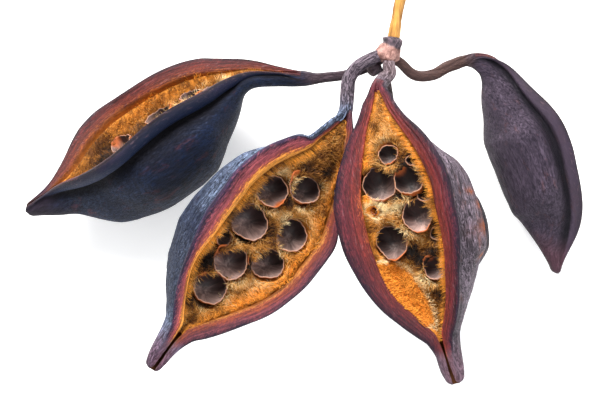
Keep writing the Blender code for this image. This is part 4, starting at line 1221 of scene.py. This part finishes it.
def stem_material(name, shade, light, stretch):
    """Streaked wood between two colours, dark and barky where it is marked dark, on the collar and on
    the lump of painted shadow, and pale where it is cut.
    """
    material, tree, shader = new_material(name)
    dark, cut = stored(tree, "dark", "cut")
    grain = cloudy(tree, stretched(tree, stored_place(tree), (1.0, 1.0, stretch)), 1.3, 6, 0.65, 0.6)
    colour = blended(tree, stepped(tree, grain, 0.3, 0.68), shade, light)
    barky = blended(tree, stepped(tree, grain, 0.35, 0.7), seen(36, 28, 38), seen(112, 92, 102))
    colour = blended(tree, dark, colour, barky)
    colour = blended(tree, cut, colour, seen(226, 208, 160))
    bump = node(tree, "Bump", {"Height": grain, "Distance": STEM_BUMP})
    feed(tree, shader, {"Base Color": colour, "Roughness": stepped(tree, grain, 0.3, 0.7, 0.75, 0.5),
                        "Normal": bump.outputs[0]})
    return material


add_stem("receptacle",
         ((KNUCKLE, 0.28, 0.05, False, 0.0), (PAINTED_SHADOW_LUMP, 0.2, 0.05, False, 0.9)),
         stem_material("knuckle_bark", seen(98, 62, 56), seen(186, 142, 132), 0.6), 1.0)
add_stem("cut_stalk", ((CUT_STALK, 0.05, 0.05, True, 0.0),),
         stem_material("straw_stalk", seen(112, 66, 20), seen(208, 152, 74), 0.12), 0.0)

# The table, the light and the camera.
# The bunch lies on a pale table under soft light, and is seen from straight above. A large lamp
# stands beyond the stalk and a weaker one on the near side.
VIEW_WIDTH = 110.16  # of the picture, at the height of the front pods' lips
LIP_LEVEL = 37.0
DISTANCE = 450.0
SENSOR = 36.0
NEAREST = 0.01  # in metres, that the camera shows
TABLE_HALF = 2.0  # in metres
TABLE_GLOW = 0.42  # of a white sheet lit from below
SKY = 0.48  # light from all round


def add_table():
    data = bpy.data.meshes.new("table_top")
    corners = ((-1, -1, 0), (1, -1, 0), (1, 1, 0), (-1, 1, 0))
    data.from_pydata((TABLE_HALF * np.array(corners)).tolist(), [], [(0, 1, 2, 3)])
    material, tree, shader = new_material("pale_table")
    feed(tree, shader, {"Base Color": (0.9, 0.9, 0.9, 1), "Roughness": 0.7,
                        "Emission Color": (1, 1, 1, 1), "Emission Strength": TABLE_GLOW})
    data.materials.append(material)
    placed("table_top", data)


def add_lamp(name, place, size, watts, colour):
    """A soft square lamp at a place in metres, aimed at the bunch."""
    data = bpy.data.lights.new(name, "AREA")
    data.size = size
    data.energy = watts
    data.color = colour
    lamp = placed(name, data)
    lamp.location = place
    aim = Vector((0.0, 0.0, 0.02)) - Vector(place)
    lamp.rotation_euler = aim.to_track_quat("-Z", "Y").to_euler()


def add_camera():
    data = bpy.data.cameras.new("camera")
    data.sensor_width = SENSOR
    data.lens = SENSOR * DISTANCE / VIEW_WIDTH
    data.clip_start = NEAREST
    camera = placed("camera", data)
    camera.location = (-MIDDLE[0] * MM, -MIDDLE[1] * MM, (LIP_LEVEL + DISTANCE) * MM)
    bpy.context.scene.camera = camera


add_table()
add_lamp("key", (-0.12, 0.5, 0.45), 0.35, 11.0, (1.0, 0.98, 0.95))
add_lamp("fill", (0.35, -0.35, 0.5), 0.6, 3.5, (0.95, 0.97, 1.0))
world = bpy.data.worlds.new("studio")
world.use_nodes = True
feed(world.node_tree, world.node_tree.nodes["Background"], {"Color": (1, 1, 1, 1), "Strength": SKY})
bpy.context.scene.world = world
bpy.context.scene.view_settings.view_transform = "Standard"
add_camera()
